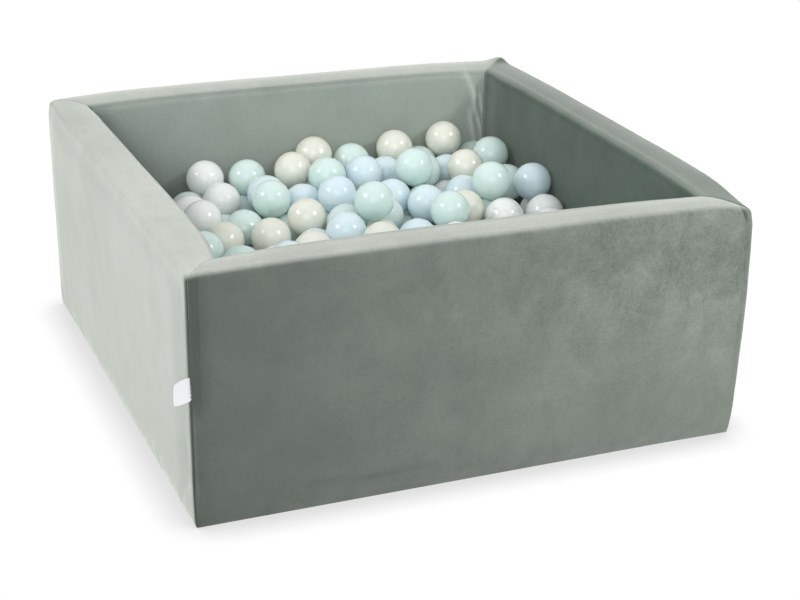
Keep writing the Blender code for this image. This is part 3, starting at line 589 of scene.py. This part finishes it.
def wall_grid(side, length, fine, wide, turns):
    """The plain form of a sleeve as a grid: its stations, and the points round each one."""
    section = np.array(wall_section(wide, turns))
    stations = np.array(wall_stations(length, fine, wide, turns))
    count = len(stations)
    outer_u, outer_v, inner_u, inner_v = (stations[:, None, k] for k in range(4))
    share = (section[:, 0] - FACE_CROWN) / (THICKNESS - FACE_CROWN)
    z = np.broadcast_to(section[:, 1], (count, len(section)))
    first = stations[0, 0]
    along = (outer_u - first) / (length - 2 * first)
    sharper = (1 - FOOT_CORNER_SHARE) * (1 - np.clip(z / CORNER_FULL_HEIGHT, 0, 1))
    place = np.arange(count)[:, None]
    near = np.where(place <= turns, outer_u - FACE_CROWN, 0)
    far = np.where(place >= count - 1 - turns, outer_u - length + FACE_CROWN, 0)
    start_u = outer_u - (near + far) * sharper
    start_v = outer_v - (outer_v - FACE_CROWN) * sharper
    out = WALL_SWELL * (z / HEIGHT) ** SWELL_POWER * (1 - share)
    rim = smoothstep(HEIGHT - RIM_BULGE_DEPTH, HEIGHT - TOP_RADIUS, z)
    bulge = np.interp(along, (0, 1), RIM_BULGE[side]) * rim * share * crown(along)
    u = start_u + (inner_u - start_u) * share + (out - bulge) * (2 * along - 1)
    v = start_v + (inner_v - start_v) * share - out + bulge
    v = v - FACE_CROWN * crown(along) * crown(z / HEIGHT) * (1 - share)
    return np.stack((u, v, z + RIM_RISE[side] * rim * crown(along)), axis=2)


def wall_places():
    x, y = WIDTH / 2, DEPTH / 2
    return (
        ("front", WIDTH, Vector((-x, -y, 0)), 0),
        ("right", DEPTH, Vector((x, -y, 0)), math.pi / 2),
        ("back", WIDTH, Vector((x, y, 0)), math.pi),
        ("left", DEPTH, Vector((-x, y, 0)), -math.pi / 2),
    )


# Tone of each wall's outer face, top and inner face: the pile's own tone with painted light and sheen
# in it, which make most tops and the left outer face paler
NAP_AND_LIGHT = {
    "front": (0.120, 0.440, 0.300),
    "right": (0.260, 0.117, 0.11978),
    "back": (0.300, 0.430, 0.385),
    "left": (0.30738, 0.386, 0.300),
}

# How strongly each wall's outer face, top and inner face are marked by brushing
BRUSHED = {
    "front": (0.35, 0.30, 0.60),
    "right": (0.90, 0.30, 0.80),
    "back": (0.90, 0.25, 0.20),
    "left": (0.30, 0.26, 0.30),
}

# How much painted light bounced from the balls tints each wall's outer face, top and inner face
# greener and cooler
COOL_BOUNCE = {
    "front": (0.15, 0.0, 0.5),
    "right": (0.3, 0.3, 1.0),
    "back": (0.3, 0.0, 0.25),
    "left": (0.1, 0.0, 0.5),
}

# Through a wall's thickness, where the tone of its top begins and where it ends
TOP_SPANS = {
    "front": ((-0.013, 0.004), (0.037, 0.049)),
    "right": ((-0.010, 0.000), (0.060, 0.070)),
    "back": ((-0.010, 0.000), (0.060, 0.070)),
    "left": ((-0.010, 0.000), (0.060, 0.070)),
}

# How level a wall's inner rounding must be to have the tone of its top
TOP_LEVELS = {"front": (0.15, 0.55), "right": (0.30, 0.75), "back": (0.60, 0.95), "left": (0.15, 0.55)}

# Where a face counts as inner, through the wall's thickness, and where an outer rounding is level
INSIDE_DEPTHS = (0.40, 0.60)
LEVEL_RISES = (0.5, 0.9)

# Where a wall's faces are lighter or darker than their base tone, some of it painted light and shade as
# the notes below say: the face, how much lighter, and where. A place names one of nap_and_light_tones'
# measures and the two values that a step runs between, the middle and width of a line, or the reach of
# a fade. A last number is the share it has elsewhere.
TONE_CHANGES = {
    "front": (
        # The outer face gets lighter along its length and darker towards the floor
        ("outer", 0.54167, ("run", "step", 0.0, 0.5)),
        ("outer", 0.21622, ("run", "step", 0.5, 1.0)),
        ("outer", -0.07, ("height", "step", 0.22, 0.0)),
        # Dark band beside the left seam, the line along it and the pale line in it
        ("outer", -0.40, ("start", "step", 0.02816, 0.0022), ("height", "step", 0.16, 0.22, 0.25)),
        ("outer", -0.22, ("start", "line", 0.0106, 0.0009), ("height", "step", 0.16, 0.22)),
        ("outer", 0.30, ("start", "line", 0.0040, 0.0007), ("height", "step", 0.22, 0.16, 0.4)),
        # Dark strip beside the right seam
        ("outer", -0.14, ("end", "line", 0.0085, 0.0035), ("height", "step", 0.08, 0.20)),
    ),
    "right": (
        # Painted light on the top's inner side and painted shade at its outer edge further back; the top
        # and the inner face are darker towards the back, and the inner face just below the rim
        ("top", 0.75, ("depth", "step", 0.005, 0.040)),
        ("top", 0.20, ("depth", "step", 0.036, 0.044)),
        ("top", -0.13, ("run", "step", 0.15, 0.60)),
        ("top", -0.17, ("run", "step", 0.15, 0.60), ("depth", "step", 0.030, 0.004)),
        ("inner", -0.12389, ("below_rim", "fade", 0.05)),
        ("inner", -0.19, ("run", "step", 0.15, 0.60)),
    ),
    "back": (
        # A painted shadow of the left wall slanting down the inner face, painted light that lifts the right
        # wall's shadow at the end behind it, and painted shade on the inner rounding
        ("inner", -0.34, ("past_shade", "fade", 0.028), ("below_rim", "step", 0.0, 0.03)),
        ("inner", 0.36, ("past_corner", "fade", 0.06)),
        ("all", -0.27, ("rise", "step", -0.05, 0.20), ("rise", "step", 0.92, 0.60), ("half", "step", 0, 1)),
    ),
    "left": (
        # Lighter towards the front and the rim; painted shade darkens the outer face at its back end
        ("top", 0.30, ("run", "step", 0.10, 0.75)),
        ("outer", 0.14894, ("run", "step", 0.2, 0.9)),
        ("outer", 0.25, ("below_rim", "fade", 0.05)),
        ("outer", -0.27, ("run", "fade", 0.16)),
        # Painted shade on the turn into the front seam, and a painted highlight on the rim's outer rounding
        ("outer", -0.72, ("end", "bend", 0.0140, 0.0010)),
        ("all", 0.15, ("rise", "line", 0.55, 0.22), ("half", "step", 1, 0)),
    ),
}
BEND_POWER = 1.5
SHADE_SLOPE = 1.38

# The front wall's brush marks get stronger along its length, above its foot
BRUSH_GAIN, BRUSH_RUN, BRUSH_HEIGHTS = 0.70, (0.35, 0.85), (0.05, 0.30)

# How much darker the outer face, the top and the inner face are in a seam
SEAM_SHADES = (0.60, 0.12, 0.30)


def face_shares(side, grid, normals):
    """How far each point belongs to a wall's outer face, its top and its inner face."""
    depth, rise = grid[:, :, 1], normals[:, :, 2]
    inside = smoothstep(*INSIDE_DEPTHS, depth / THICKNESS)
    outside, inside_top = smoothstep(*LEVEL_RISES, rise), smoothstep(*TOP_LEVELS[side], rise)
    level = np.where(depth < THICKNESS / 2, outside, inside_top)
    begins, ends = TOP_SPANS[side]
    top = level * smoothstep(*begins, depth) * (1 - smoothstep(*ends, depth))
    inner = inside * (1 - top)
    return 1 - top - inner, top, inner


def shared(numbers, shares):
    """Three numbers, for the outer face, the top and the inner face, laid over the faces."""
    return sum(share * number for share, number in zip(shares, numbers))


def place_share(value, kind, first, second=0, least=0):
    """How far each point of a cover belongs to a place, from one of its measures there."""
    if kind == "line":
        share = bell(value, first, second)
    elif kind == "fade":
        share = np.exp(-value / first)
    else:
        share = smoothstep(first, second, value) ** (BEND_POWER if kind == "bend" else 1)
    return least + (1 - least) * share


def nap_and_light_tones(side, length, grid, normals):
    """Tone of the pile at each point of a cover, with painted light and shade laid into it."""
    along, depth, height = np.moveaxis(grid, 2, 0)
    below_rim = HEIGHT - height
    measures = {
        "start": start_distance(grid),
        "end": end_distance(grid, length),
        "run": np.maximum(along / length, 0),
        "past_corner": np.maximum(along - THICKNESS, 0),
        "past_shade": np.maximum(length - THICKNESS - along - below_rim / SHADE_SLOPE, 0),
        "depth": depth,
        "half": np.where(depth > THICKNESS / 2, 1, 0),
        "height": height,
        "below_rim": below_rim,
        "rise": normals[:, :, 2],
    }
    tones = dict(zip(("outer", "top", "inner"), NAP_AND_LIGHT[side]))
    for changed, change, *places in TONE_CHANGES[side]:
        for measure, *place in places:
            change = change * place_share(measures[measure], *place)
        for face in tones if changed == "all" else (changed,):
            tones[face] = tones[face] * (1 + change)
    # Painted light on the folds' ridges and painted shade in their creases
    if side == "front":
        tones["outer"] = tones["outer"] * (1 + FOLD_LIGHT_AND_SHADE * folds(FRONT_FOLDS, along, height))
    if side == "back":
        tones["inner"] = tones["inner"] * (1 + FOLD_LIGHT_AND_SHADE * folds(BACK_FOLDS, along - THICKNESS, height))
    shares = face_shares(side, grid, normals)
    seam = bell(seam_distance(grid, length), 0, SEAM_WIDTH)
    return shared(tones.values(), shares) * (1 - shared(SEAM_SHADES, shares) * seam)


def brush_marks(side, length, grid, normals):
    """How strongly the pile is marked at each point of a cover."""
    shares = face_shares(side, grid, normals)
    marks = shared(BRUSHED[side], shares)
    if side == "front":
        along, _, height = np.moveaxis(grid, 2, 0)
        rise = smoothstep(*BRUSH_RUN, along / length) * smoothstep(*BRUSH_HEIGHTS, height)
        marks = marks + BRUSH_GAIN * shares[0] * rise
    return marks


def cool_bounce_marks(side, grid, normals):
    return shared(COOL_BOUNCE[side], face_shares(side, grid, normals))


def start_distance(grid):
    return (grid[:, :, 0] - grid[:, :, 1]) / math.sqrt(2)


def end_distance(grid, length):
    return (length - grid[:, :, 0] - grid[:, :, 1]) / math.sqrt(2)


def seam_distance(grid, length):
    return np.minimum(start_distance(grid), end_distance(grid, length))


def to_world(grid, place, turn):
    spin = np.array(((math.cos(turn), -math.sin(turn), 0), (math.sin(turn), math.cos(turn), 0), (0, 0, 1)))
    return grid @ spin.T + np.array(place)


def wall_swell(side, length, grid, world, normals):
    """How far each point of a cover lies out from its plain form, apart from its loose cloth."""
    along, _, height = np.moveaxis(grid, 2, 0)
    facing = normals[:, :, 1]
    seam = seam_distance(grid, length)
    level = smoothstep(*LEVEL_RISES, normals[:, :, 2])
    swell = -SEAM_DEPTH * bell(seam, 0, SEAM_WIDTH) * (1 - (1 - SEAM_TOP_SHARE) * level)
    swell += place_share(height, *WAVES_RISE) * summed_waves(world, WAVES)
    near_seam = np.exp(-np.maximum(seam, 0) / PUCKER_REACH) * smoothstep(0, PUCKER_START, seam)
    swell += near_seam * summed_waves(world, (PUCKER,))
    if side == "front":
        swell += folds(FRONT_FOLDS, along, height) * smoothstep(*FOLD_FACING, -facing)
    if side == "back":
        swell += folds(BACK_FOLDS, along - THICKNESS, height) * smoothstep(*FOLD_FACING, facing)
    return swell


def folds(lines, along, height):
    """Ridges and creases along straight lines on a face, fading at their ends."""
    rise = np.zeros(along.shape)
    for (start_along, start_height), (end_along, end_height), size, width in lines:
        run = np.array((end_along - start_along, end_height - start_height))
        reach = float(np.hypot(*run))
        run /= reach
        ahead = (along - start_along) * run[0] + (height - start_height) * run[1]
        aside = (height - start_height) * run[0] - (along - start_along) * run[1]
        past = np.maximum(np.maximum(-ahead, ahead - reach), 0)
        rise += size * bell(aside, 0, width) * bell(past, 0, 2 * width)
    return rise


def corner_forms(world):
    """Moves of the rim and the upright edges at the corners, and of the right wall's face."""
    move = np.zeros(world.shape)
    x, y, z = np.moveaxis(world, 2, 0)
    rim = smoothstep(HEIGHT - CORNER_DEPTH, HEIGHT - CORNER_FULL_DEPTH, z)
    right, back, front = WIDTH / 2 + WALL_SWELL, DEPTH / 2 + WALL_SWELL, -DEPTH / 2 - WALL_SWELL
    from_peak = np.hypot(x - right + PEAK_MIDDLE, y - back + PEAK_MIDDLE)
    move[:, :, 2] += PEAK_RISE * rim * bell(from_peak, 0, PEAK_REACH)
    from_droop = np.hypot(x - right, (y - front) / DROOP_REACH_SHARE)
    move[:, :, 2] -= DROOP * rim * bell(from_droop, 0, DROOP_REACH)
    for side_x, side_y, heights, amounts in EDGE_FORMS:
        away = np.hypot(x - side_x * right, y - side_y * back)
        out = np.interp(z, heights, amounts) * bell(away, 0, EDGE_REACH) / math.sqrt(2)
        move += out[:, :, None] * (side_x, side_y, 0)
    begins, full = RIGHT_BULGE_DEPTHS
    face = smoothstep(right - begins, right - full, x) * crown(y / DEPTH + 0.5)
    move[:, :, 0] += RIGHT_BULGE * face * smoothstep(*RIGHT_BULGE_HEIGHTS, z)
    for side_x, side_y, pinch in PINCHED:
        away = np.hypot(x - side_x * INSIDE_WIDTH / 2, y - side_y * INSIDE_DEPTH / 2)
        drawn = pinch / math.sqrt(2) * rim * bell(away, 0, PINCH_REACH)
        move += drawn[:, :, None] * (side_x, side_y, 0)
    return move


def turn_only(vectors, turn):
    return to_world(vectors, (0, 0, 0), turn)


def build_foam(side, length, place, turn, look):
    """The foam board inside a cover: the cover's plain form, a little smaller, with closed ends."""
    grid = wall_grid(side, length, WIDE_STEP, 2 * WIDE_STEP, FOAM_TURNS)
    normals = grid_normals(grid)
    local = grid - normals * FOAM_INSET
    local[:, :, 0] += FOAM_INSET * (1 - 2 * np.linspace(0, 1, grid.shape[0]))[:, None] / 4
    world = to_world(local, place, turn)
    world = world + corner_forms(to_world(grid, place, turn))
    faces = closed_faces(*grid.shape[:2])
    board = new_object(mesh_of(side + "_foam", world.reshape(-1, 3), faces), look)
    flip_outwards(board)
    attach(board, "walls")
    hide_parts(side + "_foam_board")


def grid_faces(rows, columns, closed=True):
    faces = []
    for i in range(rows - 1):
        for j in range(columns if closed else columns - 1):
            after = (j + 1) % columns
            faces.append((i * columns + j, (i + 1) * columns + j,
                          (i + 1) * columns + after, i * columns + after))
    return faces


def closed_faces(rows, columns):
    """The faces of a grid, with one more at each end."""
    last = (rows - 1) * columns
    ends = [tuple(range(columns)), tuple(last + k for k in reversed(range(columns)))]
    return grid_faces(rows, columns) + ends


def shares_along(grid):
    """Each row's place along the sleeve and each column's place round it, from 0 to 1."""
    rows = grid[:, :, 0].mean(axis=1)
    rows = (rows - rows[0]) / (rows[-1] - rows[0])
    ring = grid[grid.shape[0] // 2]
    lengths = np.linalg.norm(np.roll(ring, -1, axis=0) - ring, axis=1)
    columns = np.concatenate(([0], np.cumsum(lengths)[:-1])) / lengths.sum()
    return rows, columns


def start_cloth(side, length, place, turn):
    """A coarse sleeve with a little spare cloth, sewn down at its seams and its foot."""
    grid = wall_grid(side, length, CLOTH_STEP, CLOTH_STEP, CLOTH_TURNS)
    normals = grid_normals(grid)
    world = to_world(grid, place, turn)
    rough = CLOTH_ROUGHNESS * summed_waves(world, CLOTH_WAVES)
    world = world + turn_only(normals, turn) * rough[:, :, None]
    mesh = mesh_of("loose_cloth", world.reshape(-1, 3), grid_faces(*grid.shape[:2]))
    thing = new_thing("loose_cloth", mesh)
    flip_outwards(thing)
    held = thing.vertex_groups.new(name="held")
    low = grid[:, :, 2] < FOOT_RADIUS
    low[[0, -1]] = True
    held.add([int(k) for k in np.flatnonzero(low.reshape(-1))], 1.0, "REPLACE")
    cloth = thing.modifiers.new("cloth", "CLOTH")
    settings = cloth.settings
    for key, value in CLOTH_SETTINGS.items():
        setattr(settings, key, value)
    settings.effector_weights.gravity = 0
    cloth.point_cache.frame_start = 1
    cloth.point_cache.frame_end = CLOTH_FRAMES
    return thing, grid, normals


def loose_cloth():
    """How far the simulated cloth of each cover stands out, as a grid with its shares."""
    started = [(side, place, turn, *start_cloth(side, length, place, turn))
               for side, length, place, turn in wall_places()]
    scene = bpy.context.scene
    for step in range(1, CLOTH_FRAMES + 1):
        scene.frame_set(step)
    lift = {}
    for side, place, turn, thing, grid, normals in started:
        shaped = thing.evaluated_get(bpy.context.evaluated_depsgraph_get())
        places = np.empty(len(thing.data.vertices) * 3)
        shaped.data.vertices.foreach_get("co", places)
        moved = places.reshape(grid.shape) - to_world(grid, place, turn)
        out = (moved * turn_only(normals, turn)).sum(axis=2)
        lift[side] = (*shares_along(grid), np.clip(out, CLOTH_LEAST, CLOTH_MOST))
    for *_, thing, _, _ in started:
        mesh = thing.data
        bpy.data.objects.remove(thing)
        bpy.data.meshes.remove(mesh)
    scene.frame_set(1)
    return lift


def laid_on(lift, grid):
    """The simulated cloth's height at each point of a finer grid."""
    rows, columns, out = lift
    fine_rows, fine_columns = shares_along(grid)
    closed = np.concatenate((out, out[:, :1]), axis=1)
    places = np.concatenate((columns, [1.0]))
    by_column = np.array([np.interp(fine_columns, places, row) for row in closed])
    return np.array([np.interp(fine_rows, rows, column) for column in by_column.T]).T


def keep_mitres(length, grid, moved):
    """Points near a seam move within its mitre plane, so that the two covers still meet there."""
    local = moved.copy()
    at_start = bell(start_distance(grid), 0, 2 * SEAM_WIDTH)
    at_end = bell(end_distance(grid, length), 0, 2 * SEAM_WIDTH)
    aside, inwards, _ = np.moveaxis(moved - grid, 2, 0)
    local[:, :, 0] = grid[:, :, 0] + aside * (1 - at_start - at_end) + inwards * (at_start - at_end)
    return local


def calmed(side, grid):
    """How much of the loose cloth's height each point of a cover keeps."""
    edge = bell(grid[:, :, 2], HEIGHT - CALM_DROP, CALM_REACH)
    edge = edge * (1 - smoothstep(*CALM_DEPTHS, grid[:, :, 1] / THICKNESS))
    return 1 - CALMED.get(side, 0) * edge


def build_cover(side, length, place, turn, look, lift):
    """A cover's cloth: a sleeve round its foam board, mitred at both ends."""
    grid = wall_grid(side, length, FINE_STEP, WIDE_STEP, COVER_TURNS)
    normals = grid_normals(grid)
    swell = wall_swell(side, length, grid, to_world(grid, place, turn), normals)
    if lift:
        seam = seam_distance(grid, length)
        swell += laid_on(lift[side], grid) * smoothstep(0, CLOTH_REACH, seam) * calmed(side, grid)
    floor_side = smoothstep(*FLOOR_FACING, -normals[:, :, 2])
    swell = np.maximum(swell, -DEEPEST) * (1 - floor_side)
    local = keep_mitres(length, grid, grid + normals * swell[:, :, None])
    local[:, :, 0] += SEAM_GAP * (1 - 2 * np.linspace(0, 1, grid.shape[0]))[:, None]
    world = to_world(local, place, turn)
    world = world + corner_forms(world)
    mesh = mesh_of(side + "_velvet", world.reshape(-1, 3), grid_faces(*grid.shape[:2]))
    mark_points(mesh, "nap_and_light", nap_and_light_tones(side, length, grid, normals))
    mark_points(mesh, "brushed", brush_marks(side, length, grid, normals))
    mark_points(mesh, "cool_bounce", cool_bounce_marks(side, grid, normals))
    cover = new_object(mesh, look)
    flip_outwards(cover)
    thicken(cover, CLOTH, -1)
    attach(cover, "walls")
    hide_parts(side + "_cover")


def flip_outwards(thing):
    bm = bmesh.new()
    bm.from_mesh(thing.data)
    bm.normal_update()
    middle = sum((vert.co for vert in bm.verts), Vector()) / len(bm.verts)
    if sum((face.calc_center_median() - middle).dot(face.normal) for face in bm.faces) < 0:
        bmesh.ops.reverse_faces(bm, faces=bm.faces)
        bm.to_mesh(thing.data)
    bm.free()


# Floor mat

def rounded_outline(half_x, half_y, radius):
    """Points round a rectangle with rounded corners, the same number for every size."""
    bends = []
    for turn, (side_x, side_y) in enumerate(((1, 1), (-1, 1), (-1, -1), (1, -1))):
        corner = (side_x * (half_x - radius), side_y * (half_y - radius))
        bends.append(arc(corner, radius, 90 * turn, 90 * turn + 90, MAT_CORNER_STEPS))
    points = []
    for turn, bend in enumerate(bends):
        (x, y), (next_x, next_y) = bend[-1], bends[(turn + 1) % 4][0]
        points += bend
        for share in np.linspace(0, 1, MAT_SIDE_STEPS + 1)[1:-1]:
            points.append((x + (next_x - x) * share, y + (next_y - y) * share))
    return points


def build_mat(look):
    """A flat cushion with rounded edges and a seam sewn round the middle of its sides."""
    low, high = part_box("mat_cover")
    size = high - low
    middle = (high + low) / 2
    flat = size.z / 2 - MAT_RADIUS
    side = list(MAT_SEAM)
    bend = arc((0, 0), MAT_RADIUS, 0, 90, MAT_EDGE_STEPS)
    side += [(MAT_RADIUS - out, flat + rise) for out, rise in bend]
    side += [(inset, size.z / 2) for inset in MAT_RINGS]
    profile = [(inset, -height) for inset, height in reversed(side[1:])] + side
    points = []
    for inset, height in profile:
        corner = max(MAT_RADIUS - MAT_RADIUS_LOSS_SHARE * inset, MAT_LEAST_RADIUS)
        for x, y in rounded_outline(size.x / 2 - inset, size.y / 2 - inset, corner):
            points.append((middle.x + x, middle.y + y, middle.z + height))
    mesh = mesh_of("mat_cushion", points, closed_faces(len(profile), len(points) // len(profile)))
    for name, table in (("nap_and_light", NAP_AND_LIGHT), ("brushed", BRUSHED), ("cool_bounce", COOL_BOUNCE)):
        mark_points(mesh, name, np.full(len(points), table["back"][2]))
    mat = new_object(mesh, look)
    flip_outwards(mat)
    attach(mat, "floor_mat")
    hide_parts("mat_cover")


# Balls

def ball_shape(segments, rings, parting):
    """A ball, with a fine parting line round its middle if asked; its poles are on Z."""
    angles = [180 * k / rings for k in range(1, rings)]
    if parting:
        angles = sorted(angles + [90 + step for step in PARTING_STEPS])
    points = [(0, 0, BALL_RADIUS)]
    for angle in angles:
        radius = BALL_RADIUS
        if parting:
            radius += PARTING_HEIGHT * (math.exp(-((angle - 90) / PARTING_SPREAD) ** 2) - 1)
        reach, height = radius * math.sin(math.radians(angle)), radius * math.cos(math.radians(angle))
        for k in range(segments):
            turn = math.tau * k / segments
            points.append((reach * math.cos(turn), reach * math.sin(turn), height))
    points.append((0, 0, -BALL_RADIUS))
    faces = []
    last = len(points) - 1
    for k in range(segments):
        after = (k + 1) % segments
        faces.append((0, 1 + k, 1 + after))
        for row in range(len(angles) - 1):
            start = 1 + row * segments
            faces.append((start + k, start + segments + k, start + segments + after, start + after))
        start = 1 + (len(angles) - 1) * segments
        faces.append((start + k, last, start + after))
    return np.array(points), faces


def build_loose_balls(looks, chance):
    """One ball for each loose ball's node, turned by chance; gives their centres."""
    points, faces = ball_shape(BALL_SIDES, BALL_RINGS, True)
    centres = []
    for name in sorted(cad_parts):
        if not name.startswith("ball_") or name == "ball_bed":
            continue
        colour = name.split("_")[1]
        centre = np.array(sum(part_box(name), Vector()) / 2)
        centres.append(centre)
        tilt = Matrix.Rotation(chance.uniform(0, math.pi), 3, "X")
        spin = Matrix.Rotation(chance.uniform(0, math.tau), 3, "Z")
        mesh = mesh_of("gloss_" + name, points @ np.array(tilt @ spin).T + centre, faces)
        piece = new_object(mesh, looks[colour])
        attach(piece, name)
        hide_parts(name)
    return centres


def bed_ball_places():
    """Centres of the balls in the bed: each one shows as a top in the bed's own surface."""
    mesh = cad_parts["ball_bed"].data
    near = {}
    for face in mesh.polygons:
        corners = [tuple(np.round(mesh.vertices[k].co, POINT_DIGITS)) for k in face.vertices]
        for corner in corners:
            near.setdefault(corner, set()).update(other for other in corners if other != corner)
    tops = [corner for corner, others in near.items()
            if all(other[2] < corner[2] - TOP_LEAST_DROP for other in others)]
    return [np.array(top) - (0, 0, BALL_RADIUS) for top in sorted(tops)]


def bed_colour(place, chance):
    for colour, x, y in SEEN_BED_BALLS:
        if math.hypot(place[0] - x, place[1] - y) < BALL_RADIUS / 2:
            return colour
    return chance.choice(COLOURS)


def build_bed(loose, looks, chance):
    """The balls under the loose ones: those in the bed's surface, and two layers under them."""
    made = bed_ball_places()
    level = float(np.mean([centre[2] for centre in loose]))
    reach_x = INSIDE_WIDTH / 2 - BALL_RADIUS - LAYER_WALL_GAP
    reach_y = INSIDE_DEPTH / 2 - BALL_RADIUS - LAYER_WALL_GAP
    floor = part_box("ball_bed")[0].z + BALL_RADIUS
    spacing = BALL_SPACING * LAYER_SPACING_SHARE
    for drop in DEEPER_LAYERS:
        for _ in range(LAYER_THROWS):
            height = max(level - drop + chance.uniform(-LAYER_RIPPLE, LAYER_RIPPLE), floor)
            place = np.array((chance.uniform(-reach_x, reach_x), chance.uniform(-reach_y, reach_y), height))
            if all(np.linalg.norm(place - other) >= spacing for other in loose + made):
                made.append(place)
    points, faces = ball_shape(BED_BALL_SIDES, BED_BALL_RINGS, False)
    count = len(points)
    places = {colour: [] for colour in COLOURS}
    for place in made:
        places[bed_colour(place, chance)].append(place)
    for colour, mine in places.items():
        all_points = np.vstack([points + place for place in mine])
        all_faces = [tuple(corner + count * k for corner in face)
                     for k in range(len(mine)) for face in faces]
        mesh = mesh_of("bed_" + colour, all_points, all_faces)
        piece = new_object(mesh, looks[colour])
        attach(piece, "buried_balls")
        if colour == "mint":
            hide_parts("ball_bed")


# Label

def build_label(look, thread):
    """A folded satin loop that droops at its free end, with selvedges and a row of stitches."""
    low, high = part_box("label_loop")
    height = high.z - low.z
    seam = Vector((high.x, high.y, low.z + LABEL_RISE))
    along = Vector((low.x - high.x, low.y - high.y, 0))
    reach = along.length
    along.normalize()
    aside = Vector((-along.y, along.x, 0))
    gap = LABEL_OPENING / 2
    side = [(reach * k / LABEL_STEPS, gap * min(1, k / LABEL_OPENING_STEPS)) for k in range(LABEL_STEPS)]
    route = [(out, -apart) for out, apart in side]
    route += arc((reach - gap, 0), gap, -90, 90, LABEL_BEND_STEPS) + side[::-1]
    levels = [0, SELVEDGE_EDGE, SELVEDGE / height, SELVEDGE / height + SELVEDGE_EDGE]
    levels += [0.15 + 0.7 * k / LABEL_LEVELS for k in range(LABEL_LEVELS + 1)]
    levels += [1 - level for level in reversed(levels[:4])]
    points = []
    for out, apart in route:
        share = out / reach
        drop = LABEL_DROOP * share ** 1.7
        curl = LABEL_CURL * share ** 2
        for level in levels:
            from_middle = 2 * level - 1
            thicker = SELVEDGE_THICKER if min(level, 1 - level) * height <= SELVEDGE else 1.0
            tilt = curl * (level - 0.5) * 0.6
            bow = from_middle * (LABEL_ARCH * math.sin(math.pi * share) - LABEL_CORNER * share ** 6)
            points.append(seam + along * (out - LABEL_TRIM * share * abs(from_middle) ** 3)
                          + aside * (apart * thicker + tilt + curl * 0.4)
                          + Vector((0, 0, level * height + bow - drop)))
    faces = grid_faces(len(route), len(levels), closed=False)
    ribbon = new_object(mesh_of("satin_label", points, faces), look)
    thicken(ribbon, LABEL_THICKNESS, 0)
    bm = bmesh.new()
    size = Matrix.Diagonal((STITCH_RADIUS, STITCH_RADIUS, STITCH_LENGTH / 2, 1))
    for k in range(STITCHES):
        level = (k + 0.5) / STITCHES
        for face in (-1, 1):
            middle = seam + along * STITCH_PLACE + Vector((0, 0, level * height))
            middle += aside * (face * (gap * 0.6 + LABEL_THICKNESS))
            place = Matrix.Translation(middle) @ size
            bmesh.ops.create_uvsphere(bm, u_segments=8, v_segments=6, radius=1, matrix=place)
    mesh = bpy.data.meshes.new("label_stitches")
    bm.to_mesh(mesh)
    bm.free()
    mesh.shade_smooth()
    stitches = new_object(mesh, thread)
    for piece in (ribbon, stitches):
        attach(piece, "label")
    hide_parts("label_loop")


# Pieces that the frame brings and that only get a material

def dress_cad(name, look):
    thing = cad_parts[name]
    for slot in thing.material_slots:
        slot.material = look
    if not thing.material_slots:
        thing.data.materials.append(look)


def main():
    chance = random.Random(CHANCE_SEED)
    add_studio()
    velvet = velvet_look("velvet_pile")
    foam = foam_look()
    tape = woven_look("zip_tape_weave", (0.22, 0.26, 0.23), (0.12, 0.15, 0.13), 900, 0.8)
    satin = woven_look("label_satin", (0.86, 0.87, 0.88), (0.74, 0.76, 0.78), 1400, 0.42, Sheen_Weight=0.3)
    thread = woven_look("label_thread", (0.92, 0.93, 0.94), (0.80, 0.82, 0.84), 2200, 0.6)
    metal = metal_look()
    gloss = {
        "white": plastic_look("gloss_white", (0.82, 0.85, 0.84), (0.79, 0.83, 0.82), 0.20),
        "mint": plastic_look("gloss_mint", (0.63, 0.775, 0.735), (0.59, 0.755, 0.705), 0.20),
        "blue": plastic_look("gloss_blue", (0.64, 0.77, 0.84), (0.60, 0.74, 0.82), 0.20),
        "pearl": plastic_look("gloss_pearl", (0.73, 0.765, 0.72), (0.69, 0.73, 0.68), 0.34,
                              Coat_Weight=0.80, Coat_Roughness=0.13, Coat_Tint=(1.0, 0.97, 0.90, 1)),
    }
    lift = loose_cloth()
    for side, length, place, turn in wall_places():
        build_cover(side, length, place, turn, velvet, lift)
        build_foam(side, length, place, turn, foam)
    build_mat(velvet)
    dress_cad("mat_foam", foam)
    for name, look in (("tape_outer", tape), ("tape_inner", tape), ("slider", metal), ("pull", metal)):
        dress_cad("zip_" + name, look)
    build_label(satin, thread)
    loose = build_loose_balls(gloss, chance)
    build_bed(loose, gloss, chance)


main()
